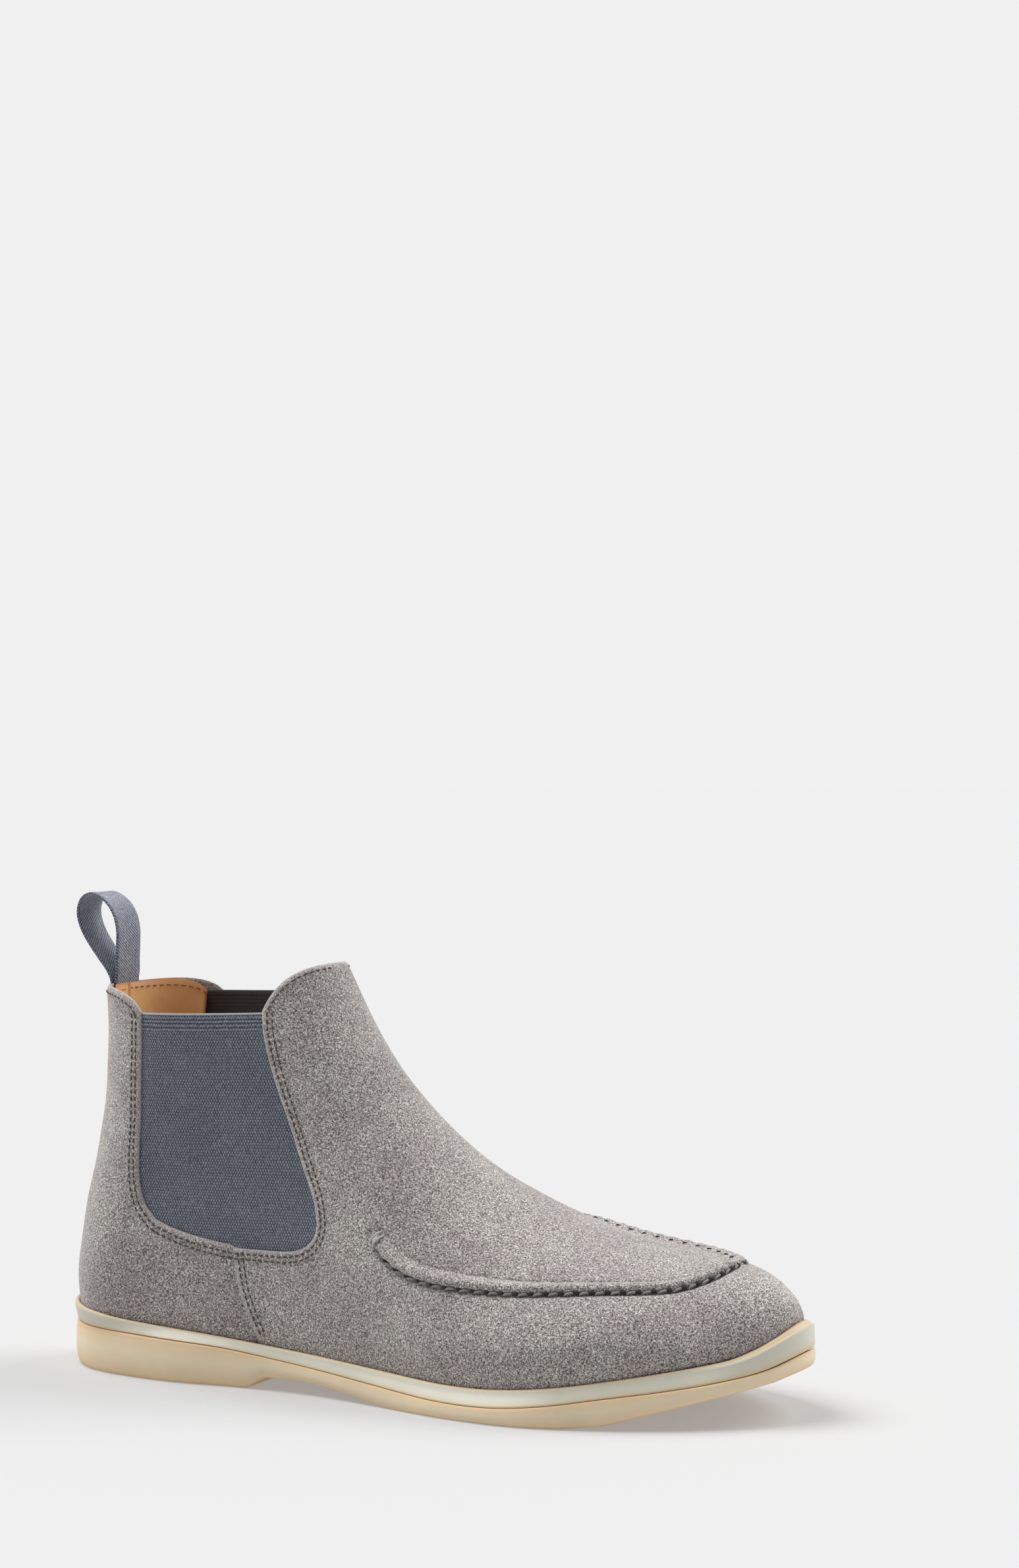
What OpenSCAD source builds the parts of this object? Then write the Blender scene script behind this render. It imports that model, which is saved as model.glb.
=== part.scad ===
// Chelsea boot for the right foot: suede upper with a raised apron seam, two elastic gores,
// leather lining, a webbing pull loop at the heel and a two-band rubber sole.
// The pattern is drawn in a heel frame: x runs from the back of the heel to the toe, y from the
// outer side of the foot to the inner side, z up from the ground. in_place() moves it so that the
// origin is the middle of the sole's length and width, on the ground.

/* [Size] */
// Length of the sole from heel to toe; the whole boot grows with it
sole_length = 300; // [240:1:330]

/* [Upper] */
// Thickness of the suede
suede_t = 1.4; // [1:0.1:1.6]
// Thickness of the elastic gores
gore_t = 1.2; // [0.8:0.1:1.3]
// Thickness of the heel counter and the toe puff
stiffener_t = 1; // [0.6:0.1:1.2]
// Thickness of the lining leather
lining_t = 0.8; // [0.6:0.1:1.2]
// Glue space between two layers of the upper
layer_gap = 0.3; // [0.25:0.05:0.4]

/* [Apron seam] */
// Width of the raised seam
seam_w = 4; // [3:0.5:5]
// Height of the raised seam above the suede
seam_h = 1.8; // [1:0.1:2.5]
// Number of stitches along the seam
seam_stitches = 52; // [30:1:60]

/* [Sole] */
// Depth that the upper sinks into the lip of the midsole
tuck = 2.6; // [2:0.1:2.7]
// Thickness of the insole board
board_t = 1.8; // [1:0.1:2]
// Thickness of the foam footbed
footbed_t = 4; // [2:0.5:5]
// Thickness of the leather sock liner
sock_t = 0.9; // [0.6:0.1:1.2]

/* [Pull loop] */
// Width of the webbing
loop_w = 17; // [12:1:22]
// Thickness of the webbing
loop_t = 1.3; // [0.8:0.1:1.6]
// Length of the ends that are sewn into the collar
loop_tail = 18; // [10:1:18]

/* [Hidden] */

pattern_length = 300;
plan_middle_y = -2.4;
toe_x = 295.3;

// Lines of the last in side view, as [x, z], and of the heel's back as [z, x]
RIDGE = [[18, 349], [58, 266], [98, 186], [113, 156.5], [124, 136], [134.3, 120.2], [145.5, 107],
    [158.6, 93.7], [171.8, 82.6], [184, 74.9], [199, 67.3], [214, 61.8], [229.5, 58.2],
    [242.5, 56.2], [254.5, 54.5], [266, 52.8], [276, 50.9], [284, 47.6], [289.5, 43.8],
    [293, 39.8], [295.3, 34.4]];
BACK = [[10, 3.6], [22, 3.4], [35, 2.8], [47, 4], [63, 6.4], [79, 9.7], [104, 14], [127, 15.6],
    [146, 15.2], [165, 15]];
FEATHER = [[0, 26.2], [6, 24.8], [14, 23.9], [25, 22.8], [40, 21], [75, 18.1], [106, 15.5],
    [139, 13.1], [160, 11.8], [180, 11], [198, 11.3], [220, 13.4], [240, 16.4], [258, 19.5],
    [275, 22.8], [285, 25.8], [291, 28.9], [295, 32.2]];

// Half widths of the upper in plan at its widest height, as [x, half width]
UPPER_LATERAL = [[0, 33], [60, 33], [90, 33], [120, 35.5], [150, 42], [180, 50], [200, 52.8],
    [215, 52.8], [230, 50], [250, 42.5], [270, 31.5], [282, 22.5], [290, 14], [295.3, 0]];
UPPER_MEDIAL = [[0, 32.5], [60, 32.5], [90, 30.5], [120, 29], [150, 31], [180, 39], [200, 45.5],
    [215, 48.5], [230, 48.5], [250, 44.5], [270, 35.5], [282, 26.5], [290, 17], [295.3, 0]];
// Width of the shaft against the width of the foot, as [z, factor]
SHAFT = [[0, 1], [45, 1], [70, 0.965], [95, 0.955], [120, 1.04], [145, 1.13], [165, 1.16]];

// Half widths of the outsole in plan, as [x, half width]
SOLE_LATERAL = [[0, 0], [4, 13.5], [10, 21.5], [20, 29], [35, 34], [60, 37.5], [90, 36],
    [120, 38.5], [150, 45.5], [180, 54], [200, 57], [215, 56.5], [230, 53], [250, 46], [270, 36],
    [285, 25], [295, 13.5], [300, 0]];
SOLE_MEDIAL = [[0, 0], [4, 13.5], [10, 21.5], [20, 29], [35, 34], [60, 35.5], [90, 33],
    [120, 30.5], [150, 33], [180, 42], [200, 49], [215, 52], [230, 52], [250, 48], [270, 39],
    [285, 28], [295, 15], [300, 0]];
// Underside of the outsole with the heel breast and the toe spring, and the groove between bands
GROUND = [[0, 0], [91, 0], [99, 4.6], [112, 4.9], [125, 4.2], [140, 2], [155, 0], [225, 0],
    [240, 1.5], [259, 6.6], [277, 11.3], [291, 15], [300, 18.8]];
GROOVE = [[0, 17], [43, 16.5], [75, 15], [107, 11.5], [139, 8.5], [173, 6], [198, 5.9],
    [220, 7.9], [240, 11], [260, 13.8], [276, 16.5], [290, 20], [300, 25]];

// Edges of the gore window as [z, x], and its corners as [x, z]; side is -1 lateral, 1 medial,
// and the collar is higher on the medial side
GORE_REAR = [[60, 50], [66, 45], [77, 42.3], [100, 42.3], [137.3, 43.8]];
GORE_FRONT = [[63, 119.8], [71, 117.8], [83, 112], [100, 105], [116, 98.9], [130, 94.8],
    [139.2, 93.8]];
function gore_top_rear(side) = side > 0 ? [44, 142] : [43.8, 137.3];
function gore_top_front(side) = side > 0 ? [93.2, 144.7] : [93.8, 139.2];
gore_low_front = [119.8, 63];
gore_low_rear = [50, 60];
gore_foot = [104, 51.2];
gore_flange = 6;
GORE_BOTTOM = [[0, 58], [0.15, 53], [0.3, 49.5], [0.5, 46], [0.85, 46], [1, 52]];

// Side seam between vamp and quarter as [z, x]
SIDE_SEAM = [[10, 97.5], [18, 95], [36, 87.5], [51.2, 84.5]];
seam_top = [84.5, 51.2];
tongue_front = [112.8, curve(RIDGE, 112.8)];
tongue_bend = [99.5, 154.5];
collar_back = [15.2, 146.3];
function collar_bend(side) = side > 0 ? [37, 149] : [39, 146.6];

// Where the rows of the vamp meet the ridge and the lower edge, as [row fraction, x]
RIDGE_ROWS = [[0, 112.8], [0.15, 132], [0.3, 157], [0.45, 189], [0.6, 225], [0.72, 252],
    [0.85, 281]];
LOWER_ROWS = [[0, 96], [0.3, 131], [0.6, 190], [0.8, 232], [1, 262]];
toe_rows_from = 0.85;
toe_ridge_x = 281;
toe_edge_x = 262;

// Side view of the apron seam on each side of the foot, as [x, z]
APRON_LATERAL = [[146, 60], [151, 55.2], [158, 50.9], [167, 48.2], [180, 46.5], [200, 45.6],
    [215, 45.8], [230, 46.2], [245, 46.5], [254, 46.9], [259, 47.8], [262.5, 48.9], [265.5, 50.2],
    [267.5, 51.5], [268.5, 52.1]];
APRON_MEDIAL = [[146, 62], [165, 61], [180, 61], [200, 60.4], [213, 59], [225, 56.7], [238, 54.6],
    [247, 53.4], [253, 52.8], [259, 52.5], [264.5, 52.3], [267, 52.2], [268.5, 52.1]];
apron_rear_x = 146;
apron_front_x = 268.5;

// Middle line of the pull loop's band in side view, from its foot up the front and round
LOOP = [[17.1, 147.9], [18.8, 150.2], [18.7, 155.5], [18.9, 161.5], [18.9, 167], [17.6, 172.4],
    [14.8, 176.8], [10.8, 179.9], [6.8, 181], [3.3, 179.4], [1.5, 175.6], [1.6, 171.4],
    [3.6, 166.3], [7.3, 160.8], [11.7, 155.3], [15, 150.3]];

layer_1 = suede_t + layer_gap;
layer_2 = layer_1 + gore_t + layer_gap;
lining_depth = layer_2 + lining_t;
glue = 0.1;
floor_inset = lining_depth + 1.2;
filler_t = 1;
shank_t = 1;
z_filler = -tuck - 0.3;
z_shank = z_filler + filler_t + glue;
z_board = z_shank + shank_t + glue;
z_footbed = z_board + board_t + glue;
z_sock = z_footbed + footbed_t + glue;

// ---- Curves ----

// Slope at row i of a table of [x, value]
function slope(t, i) =
    let(a = max(i - 1, 0), b = min(i + 1, len(t) - 1))
    (t[b][1] - t[a][1]) / (t[b][0] - t[a][0]);

// Last row that starts at or before x
function row_at(t, x, i = 0) = i >= len(t) - 2 || x < t[i + 1][0] ? i : row_at(t, x, i + 1);

// Smooth value at x of a table of [x, value] rows, straight on past its ends
function curve(t, x) =
    let(i = row_at(t, x), h = t[i + 1][0] - t[i][0], u = (x - t[i][0]) / h, last = len(t) - 1)
    u < 0 ? t[0][1] + slope(t, 0) * (x - t[0][0])
    : u > 1 ? t[last][1] + slope(t, last) * (x - t[last][0])
    : (1 + 2 * u) * pow(1 - u, 2) * t[i][1] + u * pow(1 - u, 2) * h * slope(t, i)
        + u * u * (3 - 2 * u) * t[i + 1][1] + u * u * (u - 1) * h * slope(t, i + 1);

function squares(t) = [for (r = t) [r[0], r[1] * r[1]]];
function ease(a, b, x) = let(t = min(1, max(0, (x - a) / (b - a)))) t * t * (3 - 2 * t);
function chord(a, b, u) = a + (b - a) * u;
function arc3(a, b, c, u) = (1 - u) * (1 - u) * a + 2 * u * (1 - u) * b + u * u * c;
function unit(v) = v / norm(v);

// ---- Surface of the last ----

// Where the back of the heel crosses the feather line, found in two steps
heel_x = curve(BACK, feather(curve(BACK, feather(0))));
UPPER_LATERAL_SQ = squares(UPPER_LATERAL);
UPPER_MEDIAL_SQ = squares(UPPER_MEDIAL);
SOLE_LATERAL_SQ = squares(SOLE_LATERAL);
SOLE_MEDIAL_SQ = squares(SOLE_MEDIAL);

function feather(x) = curve(FEATHER, x);
// Height above the feather line at which the foot is widest
function belly(x) = 13 - 11.5 * ease(225, toe_x, x);
// How full the section is above its widest height; 1 is an ellipse
function fullness(x, side) =
    let(forefoot = ease(140, 195, x) * (1 - ease(262, toe_x, x)))
    side > 0 ? 1 - 0.08 * forefoot : 1 + 0.35 * forefoot;

// How far z is from the widest height towards the ridge, 0 to 1
function rise(x, z) =
    let(z0 = feather(x) + belly(x)) (z - z0) / max(curve(RIDGE, x) - z0, 0.6);
// The forefoot's top leans towards the medial side, as a foot's instep does
ridge_lean = 9;
function lean(x, z) =
    ridge_lean * ease(135, 205, x) * (1 - ease(250, toe_x, x)) * pow(min(1, max(0, rise(x, z))), 2);

// Square of the half width at x and z on one side: -1 lateral, 1 medial
function half_sq(x, z, side) =
    let(
        w = curve(side > 0 ? UPPER_MEDIAL_SQ : UPPER_LATERAL_SQ, x),
        b = belly(x),
        z0 = feather(x) + b,
        e = rise(x, z),
        roof = e > 0 ? 1 - pow(e, 2 / fullness(x, side))
            : pow(1 - 0.045 * pow(min((z0 - z) / b, 1.5), 2), 2),
        k = 1 + (curve(SHAFT, z) - 1) * (1 - ease(105, 150, x)),
        q = (x - curve(BACK, z)) / (31 + 9 * ease(50, 140, z)),
        heel = q < 1 ? 1 - (1 - q) * (1 - q) : 1
    )
    w * k * k * heel * roof;

function half_width(g) = g[2] * sqrt(max(0, half_sq(g[0], g[1], g[2])));
function skin(g) = [g[0], lean(g[0], g[1]) + half_width(g), g[1]];

// Outward direction of the last at a place g = [x, z, side]
function outward(g) =
    let(
        d = 0.2,
        dx = half_sq(g[0] + d, g[1], g[2]) - half_sq(g[0] - d, g[1], g[2]),
        dz = half_sq(g[0], g[1] + d, g[2]) - half_sq(g[0], g[1] - d, g[2]),
        w = 2 * half_width(g),
        lx = lean(g[0] + d, g[1]) - lean(g[0] - d, g[1]),
        lz = lean(g[0], g[1] + d) - lean(g[0], g[1] - d)
    )
    unit([-(dx + w * lx) / (2 * d), w, -(dz + w * lz) / (2 * d)]);

// ---- Solids from grids ----

function pair(a, b, c, d, flip) = flip ? [[a, c, b], [b, c, d]] : [[a, b, c], [b, d, c]];

// Sheet of one thickness under the last's surface, on a grid of [x, z, side]
module sheet(grid, depth, thickness) {
    rows = len(grid);
    cols = len(grid[0]);
    n = rows * cols;
    p = [for (r = grid) [for (g = r) skin(g)]];
    v = [for (r = grid) [for (g = r) outward(g)]];
    outer = [for (i = [0:rows - 1]) for (j = [0:cols - 1]) p[i][j] - v[i][j] * depth];
    inner = [for (i = [0:n - 1]) outer[i] - v[floor(i / cols)][i % cols] * thickness];
    a = floor(rows / 2);
    b = floor(cols / 4);
    f = cross(p[a + 1][b] - p[a][b], p[a][b + 1] - p[a][b]) * v[a][b] > 0;
    quads = concat(
        [for (i = [0:rows - 2]) for (j = [0:cols - 2]) let(k = i * cols + j)
            each pair(k, k + 1, k + cols, k + cols + 1, !f)],
        [for (i = [0:rows - 2]) for (j = [0:cols - 2]) let(k = n + i * cols + j)
            each pair(k, k + 1, k + cols, k + cols + 1, f)],
        [for (j = [0:cols - 2]) each pair(j, j + 1, n + j, n + j + 1, f)],
        [for (j = [0:cols - 2]) let(k = n - cols + j) each pair(k, k + 1, n + k, n + k + 1, !f)],
        [for (i = [0:rows - 2]) let(k = i * cols) each pair(k, k + cols, n + k, n + k + cols, !f)],
        [for (i = [0:rows - 2]) let(k = i * cols + cols - 1)
            each pair(k, k + cols, n + k, n + k + cols, f)]
    );
    polyhedron(points = concat(outer, inner), faces = quads, convexity = 8);
}

// Closed solid from rings of the same even number of points, each starting at the heel's back and
// running round the lateral side; the first and last rings are closed across the foot
module ring_solid(rings) {
    n = len(rings[0]);
    m = len(rings);
    half = n / 2;
    wall = [for (i = [0:m - 2]) for (j = [0:n - 1]) let(k = (j + 1) % n)
        each pair(i * n + j, i * n + k, (i + 1) * n + j, (i + 1) * n + k, true)];
    ends = [for (s = [0, 1]) let(o = s * (m - 1) * n) each concat(
        [s == 1 ? [o, o + n - 1, o + 1] : [o, o + 1, o + n - 1]],
        [for (j = [1:half - 2]) each pair(o + j, o + n - j, o + j + 1, o + n - j - 1, s == 0)],
        [s == 1 ? [o + half - 1, o + half + 1, o + half] : [o + half - 1, o + half, o + half + 1]]
    )];
    polyhedron(points = [for (r = rings) each r], faces = concat(wall, ends), convexity = 6);
}

// Plan outlines by angle a: 0 is the heel's back, 90 lateral, 180 the toe, 270 medial
function sole_plan(a) =
    let(x = pattern_length * (1 - cos(a)) / 2, s = sin(a) >= 0 ? -1 : 1)
    [x, s * sqrt(max(0, curve(s > 0 ? SOLE_MEDIAL_SQ : SOLE_LATERAL_SQ, x)))];
function upper_plan(a) =
    let(x = chord(heel_x, toe_x, (1 - cos(a)) / 2), s = sin(a) >= 0 ? -1 : 1)
    [x, s * sqrt(max(0, half_sq(x, feather(x), s)))];
function inward(p, q) = let(t = unit(q - p)) [-t[1], t[0]];
function inset_sole(a, d) = sole_plan(a) + d * inward(sole_plan(a - 1), sole_plan(a + 1));
function inset_upper(a, d) = upper_plan(a) + d * inward(upper_plan(a - 1), upper_plan(a + 1));

// ---- Sole ----

module outsole() {
    n = 108;
    // How far each ring is inset, and how high it is between ground and groove
    PROFILE = [[3.2, 0], [1.2, 0.1], [0.3, 0.3], [0, 0.55], [0.4, 0.82], [1.6, 1]];
    color([0.88, 0.8, 0.68]) ring_solid([for (r = PROFILE) [for (j = [0:n - 1])
        let(p = inset_sole(360 * j / n, r[0]), low = lookup(p[0], GROUND))
        [p[0], p[1], chord(low, curve(GROOVE, p[0]), r[1])]]]);
}

module midsole() {
    n = 72;
    gap = 0.15;
    color([0.84, 0.84, 0.79]) ring_solid([
        [for (j = [0:n - 1]) let(p = inset_sole(360 * j / n, 1.8))
            [p[0], p[1], curve(GROOVE, p[0]) + gap]],
        [for (j = [0:n - 1]) let(p = inset_sole(360 * j / n, 2.4))
            [p[0], p[1], chord(curve(GROOVE, p[0]), feather(p[0]), 0.5)]],
        lip_ring(n, -2.4, -0.5),
        lip_ring(n, -1.4, 0.2),
        lip_ring(n, -layer_gap, 0),
        lip_ring(n, -layer_gap, -tuck - 0.4)
    ]);
}

// Ring that follows the upper in plan, d inside it and dz above the feather line
function lip_ring(n, d, dz) = [for (j = [0:n - 1])
    let(p = inset_upper(360 * j / n, d)) [p[0], p[1], feather(p[0]) + dz]];

// Flat layer inside the upper, dz above the feather line
module floor_layer(dz, thickness) {
    n = 56;
    ring_solid([lip_ring(n, floor_inset, dz), lip_ring(n, floor_inset, dz + thickness)]);
}

module cork_filler() {
    color([0.66, 0.5, 0.34]) floor_layer(z_filler, filler_t);
}

module shank() {
    from = 48;
    to = 152;
    n = 24;
    half_w = 7;
    color([0.6, 0.62, 0.65]) ring_solid([for (h = [z_shank, z_shank + shank_t])
        [for (j = [0:n - 1]) let(a = 360 * j / n, x = chord(from, to, (1 - cos(a)) / 2))
            [x, -half_w * sin(a) * (1 - 0.3 * pow(cos(a), 2)), feather(x) + h]]]);
}

module insole_board() {
    color([0.72, 0.64, 0.5]) floor_layer(z_board, board_t);
}

module footbed() {
    color([0.9, 0.88, 0.82]) floor_layer(z_footbed, footbed_t);
}

module sock_liner() {
    color([0.78, 0.58, 0.37]) floor_layer(z_sock, sock_t);
}

// ---- Vamp, from the toe back to the tongue and the side seams ----

// Rear edge of the vamp from the ridge to the lower edge: tongue top, gore and side seam
function vamp_rear(n, side) = concat(
    [for (i = [0:n - 1])
        arc3(tongue_front, tongue_bend, gore_top_front(side), pow(i / n, 1.5))],
    [for (i = [0:2 * n - 1])
        let(z = chord(gore_top_front(side)[1], gore_low_front[1], i / (2 * n)))
        [curve(GORE_FRONT, z), z]],
    [for (i = [0:n - 1]) arc3(gore_low_front, [120.5, 51.4], gore_foot, i / n)],
    [gore_foot],
    [for (i = [0:n]) let(z = chord(seam_top[1], feather(96) - tuck, i / n))
        [curve(SIDE_SEAM, z), z]]
);

function ridge_point(t) =
    let(s = (t - toe_rows_from) / (1 - toe_rows_from) / 0.8)
    t <= toe_rows_from ? let(x = curve(RIDGE_ROWS, t)) [x, curve(RIDGE, x)]
    : s < 1 ? let(x = chord(toe_ridge_x, toe_x, sin(90 * s))) [x, curve(RIDGE, x)]
    : [toe_x, chord(curve(RIDGE, toe_x), feather(toe_x) - tuck, (s - 1) * 4)];
function lower_point(t) = let(x = curve(LOWER_ROWS, t)) [x, feather(x) - tuck];
function toe_point(r) = let(x = chord(toe_x, toe_edge_x, r)) [x, feather(x) - tuck];

// Place on the vamp at row fraction t and column k of the rear edge
function vamp_point(t, k, edge) =
    let(
        r = pow(k / (len(edge) - 1), 2),
        rear = edge[k] - chord(edge[0], edge[len(edge) - 1], r),
        toe = toe_point(r) - chord(toe_point(0), toe_point(1), r)
    )
    chord(ridge_point(t), lower_point(t), r) + pow(1 - t, 3) * rear + pow(t, 3) * toe;

function vamp_grid(from, rows, n) =
    let(lateral = vamp_rear(n, -1), medial = vamp_rear(n, 1), m = len(lateral) - 1)
    [for (i = [0:rows]) [for (j = [-m:m])
        let(p = vamp_point(chord(from, 1, i / rows), abs(j), j < 0 ? lateral : medial))
        [p[0], p[1], sign(j)]]];

module vamp() {
    color([0.56, 0.54, 0.52]) sheet(vamp_grid(0, 30, 4), 0, suede_t);
}

module toe_puff() {
    color([0.85, 0.82, 0.74]) sheet(vamp_grid(0.8, 9, 2), layer_1, stiffener_t);
}

module vamp_lining() {
    color([0.78, 0.58, 0.37]) sheet(vamp_grid(0, 20, 3), layer_2, lining_t);
}

// ---- Apron seam ----

// Place on the seam at s: -1 is the lateral end, 0 the toe, 1 the medial end; equal steps of s
// are nearly equal steps along the seam
function apron_place(s) =
    let(back = 1.25 * s * s / (abs(s) + 0.25), x = chord(apron_front_x, apron_rear_x, back))
    [x, min(curve(s > 0 ? APRON_MEDIAL : APRON_LATERAL, x), curve(RIDGE, x)), sign(s)];
// Point, outward, along and across directions at s
function apron_frame(s) =
    let(
        g = apron_place(s),
        p = skin(g),
        v = outward(g),
        along = unit(skin(apron_place(min(1, s + 0.04))) - skin(apron_place(max(-1, s - 0.04)))),
        across = unit(cross(v, along))
    )
    [p, v, along, across];

// Small bar centred at place f, moved across by shift, between two heights
module bar(f, shift, length, width, from, to, turn = 0) {
    u = f[2] * cos(turn) + f[3] * sin(turn);
    w = f[3] * cos(turn) - f[2] * sin(turn);
    c = f[0] + f[3] * shift;
    corners = [for (h = [from, to]) for (s = [[-1, -1], [1, -1], [1, 1], [-1, 1]])
        c + f[1] * h + u * s[0] * length / 2 + w * s[1] * width / 2];
    polyhedron(points = corners, faces = [[0, 1, 2], [0, 2, 3], [4, 6, 5], [4, 7, 6],
        [0, 4, 5], [0, 5, 1], [1, 5, 6], [1, 6, 2], [2, 6, 7], [2, 7, 3], [3, 7, 4], [3, 4, 0]]);
}

module apron_seam() {
    n = 60;
    lift = 0.25;
    SECTION = [[-1, 0], [-0.8, 0.65], [0, 1], [0.8, 0.65], [1, 0]];
    m = len(SECTION);
    points = [for (i = [0:n]) let(f = apron_frame(chord(-1, 1, i / n))) for (q = SECTION)
        f[0] + f[3] * q[0] * seam_w / 2 + f[1] * (lift + q[1] * seam_h)];
    walls = [for (i = [0:n - 1]) for (j = [0:m - 1]) let(k = (j + 1) % m)
        each pair(i * m + j, i * m + k, (i + 1) * m + j, (i + 1) * m + k, false)];
    caps = [for (j = [1:m - 2]) each [[0, j + 1, j], [n * m, n * m + j, n * m + j + 1]]];
    color([0.5, 0.48, 0.46]) polyhedron(points = points, faces = concat(walls, caps));
}

module apron_stitches() {
    color([0.45, 0.43, 0.42]) for (i = [0:seam_stitches - 1])
        bar(apron_frame(chord(-0.97, 0.97, i / (seam_stitches - 1))), -seam_w / 2 - 1.2,
            3.4, 0.8, 0.25, 0.8);
}

module apron_bar_tacks() {
    color([0.7, 0.68, 0.66]) for (s = [-1, 1]) for (shift = [-1.1, 1.1])
        bar(apron_frame(s), shift, 3, 0.8, 0.3 + seam_h, 0.8 + seam_h, 0);
}

// ---- Quarters, from the back seam round to the side seam, under and behind the gore ----

function quarter_outer(n) = concat(
    [for (i = [0:n - 1]) let(z = chord(collar_back[1], feather(heel_x) - tuck, i / n))
        [curve(BACK, z), z]],
    [for (i = [0:n])
        let(x = chord(curve(BACK, feather(heel_x) - tuck), 95.8, pow(i / n, 2)))
        [x, feather(x) - tuck]]
);
function quarter_inner(n, side) = concat(
    [for (i = [0:n - 1]) let(z = chord(gore_top_rear(side)[1], gore_low_rear[1], i / n))
        [curve(GORE_REAR, z), z]],
    [for (i = [0:n]) arc3(gore_low_rear, [62, 54], seam_top - [0.2, 0], i / n)]
);

function quarter_grid(n, cols, side) =
    let(outer = quarter_outer(n), inner = quarter_inner(n, side), last = 2 * n)
    [for (i = [0:last]) [for (j = [0:cols])
        let(
            c = pow(j / cols, 1.7),
            t = i / last,
            collar = arc3(collar_back, collar_bend(side), gore_top_rear(side), c)
                - chord(collar_back, gore_top_rear(side), c),
            z = chord(outer[last][1], inner[last][1], c),
            seam = [curve(SIDE_SEAM, z) - 0.2, z] - chord(outer[last], inner[last], c),
            p = chord(outer[i], inner[i], c) + pow(1 - t, 3) * collar + pow(t, 3) * seam
        )
        [p[0], p[1], side]]];

module quarter(side) {
    color([0.58, 0.56, 0.54]) sheet(quarter_grid(11, 9, side), 0, suede_t);
}

module quarter_lateral() {
    quarter(-1);
}

module quarter_medial() {
    quarter(1);
}

module quarter_lining(side) {
    color([0.78, 0.58, 0.37]) sheet(quarter_grid(11, 9, side), layer_2, lining_t);
}

module quarter_lining_lateral() {
    quarter_lining(-1);
}

module quarter_lining_medial() {
    quarter_lining(1);
}

// ---- Gores ----

module gore(side) {
    cols = 10;
    rows = 12;
    grid = [for (i = [0:rows]) [for (j = [0:cols])
        let(
            u = j / cols,
            top = chord(gore_top_rear(side)[1], gore_top_front(side)[1], u),
            z = chord(top, curve(GORE_BOTTOM, u), i / rows),
            rear = curve(GORE_REAR, max(z, gore_low_rear[1])) - gore_flange,
            front = curve(GORE_FRONT, max(z, gore_low_front[1])) + gore_flange
        )
        [chord(rear, front, u), z, side]]];
    color([0.34, 0.38, 0.43]) sheet(grid, layer_1, gore_t);
}

module gore_lateral() {
    gore(-1);
}

module gore_medial() {
    gore(1);
}

// ---- Stiffeners and tapes at the back of the heel ----

// Grid round the back of the heel between two heights; reach is how far forward it goes
function heel_grid(from, to, rows, cols, reach, round_top) =
    [for (i = [0:rows]) [for (j = [-cols:cols])
        let(
            r = reach * (round_top ? sqrt(1 - pow(0.85 * i / rows, 2)) : 1),
            rough_z = chord(from, to, i / rows),
            x = curve(BACK, rough_z) + r * pow(j / cols, 2),
            z = round_top ? chord(feather(x) - tuck, to, i / rows) : rough_z
        )
        [x, z, sign(j)]]];

module heel_counter() {
    height = 57;
    color([0.85, 0.82, 0.74])
        sheet(heel_grid(20, height, 8, 9, 66, true), layer_1, stiffener_t);
}

module back_seam_tape() {
    color([0.9, 0.88, 0.84]) sheet(heel_grid(63, 125, 9, 2, 1.1, false), layer_1, 0.5);
}

module pull_loop_tails() {
    reach = 1.65 * pow(loop_w / 20, 2);
    color([0.42, 0.45, 0.5])
        sheet(heel_grid(145.8 - loop_tail, 145.8, 4, 3, reach, false), layer_1, gore_t);
}

// ---- Pull loop ----

// Smooth closed line through the points of LOOP
function loop_at(u) =
    let(
        n = len(LOOP),
        i = floor(u) % n,
        f = u - floor(u),
        a = LOOP[(i + n - 1) % n],
        b = LOOP[i],
        c = LOOP[(i + 1) % n],
        d = LOOP[(i + 2) % n]
    )
    b + 0.5 * f * (c - a + f * (2 * a - 5 * b + 4 * c - d + f * (3 * b - 3 * c + d - a)));
function loop_edge(u, d) =
    let(t = unit(loop_at(u + 0.05) - loop_at(u + len(LOOP) - 0.05))) loop_at(u) + d * [t[1], -t[0]];

module pull_loop() {
    steps = 5 * len(LOOP);
    color([0.42, 0.45, 0.5]) rotate([90, 0, 0]) linear_extrude(height = loop_w, center = true)
        difference() {
            polygon([for (i = [0:steps - 1]) loop_edge(i / 5, loop_t / 2)]);
            polygon([for (i = [0:steps - 1]) loop_edge(i / 5, -loop_t / 2)]);
        }
}

// ---- Assembly ----

module in_place() {
    scale(sole_length / pattern_length) translate([-pattern_length / 2, -plan_middle_y, 0])
        children();
}

in_place() outsole();
in_place() midsole();
in_place() cork_filler();
in_place() shank();
in_place() insole_board();
in_place() footbed();
in_place() sock_liner();
in_place() vamp();
in_place() apron_seam();
in_place() apron_stitches();
in_place() apron_bar_tacks();
in_place() toe_puff();
in_place() vamp_lining();
in_place() quarter_lateral();
in_place() quarter_medial();
in_place() gore_lateral();
in_place() gore_medial();
in_place() quarter_lining_lateral();
in_place() quarter_lining_medial();
in_place() heel_counter();
in_place() back_seam_tape();
in_place() pull_loop_tails();
in_place() pull_loop();
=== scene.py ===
"""Looks of a suede chelsea boot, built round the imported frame.

The upper is drawn in the heel frame that the part uses, in millimetres: x from the back of the
heel to the toe, y from the lateral to the medial side, z up. to_row() turns that into the row's
metres."""
import math

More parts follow.
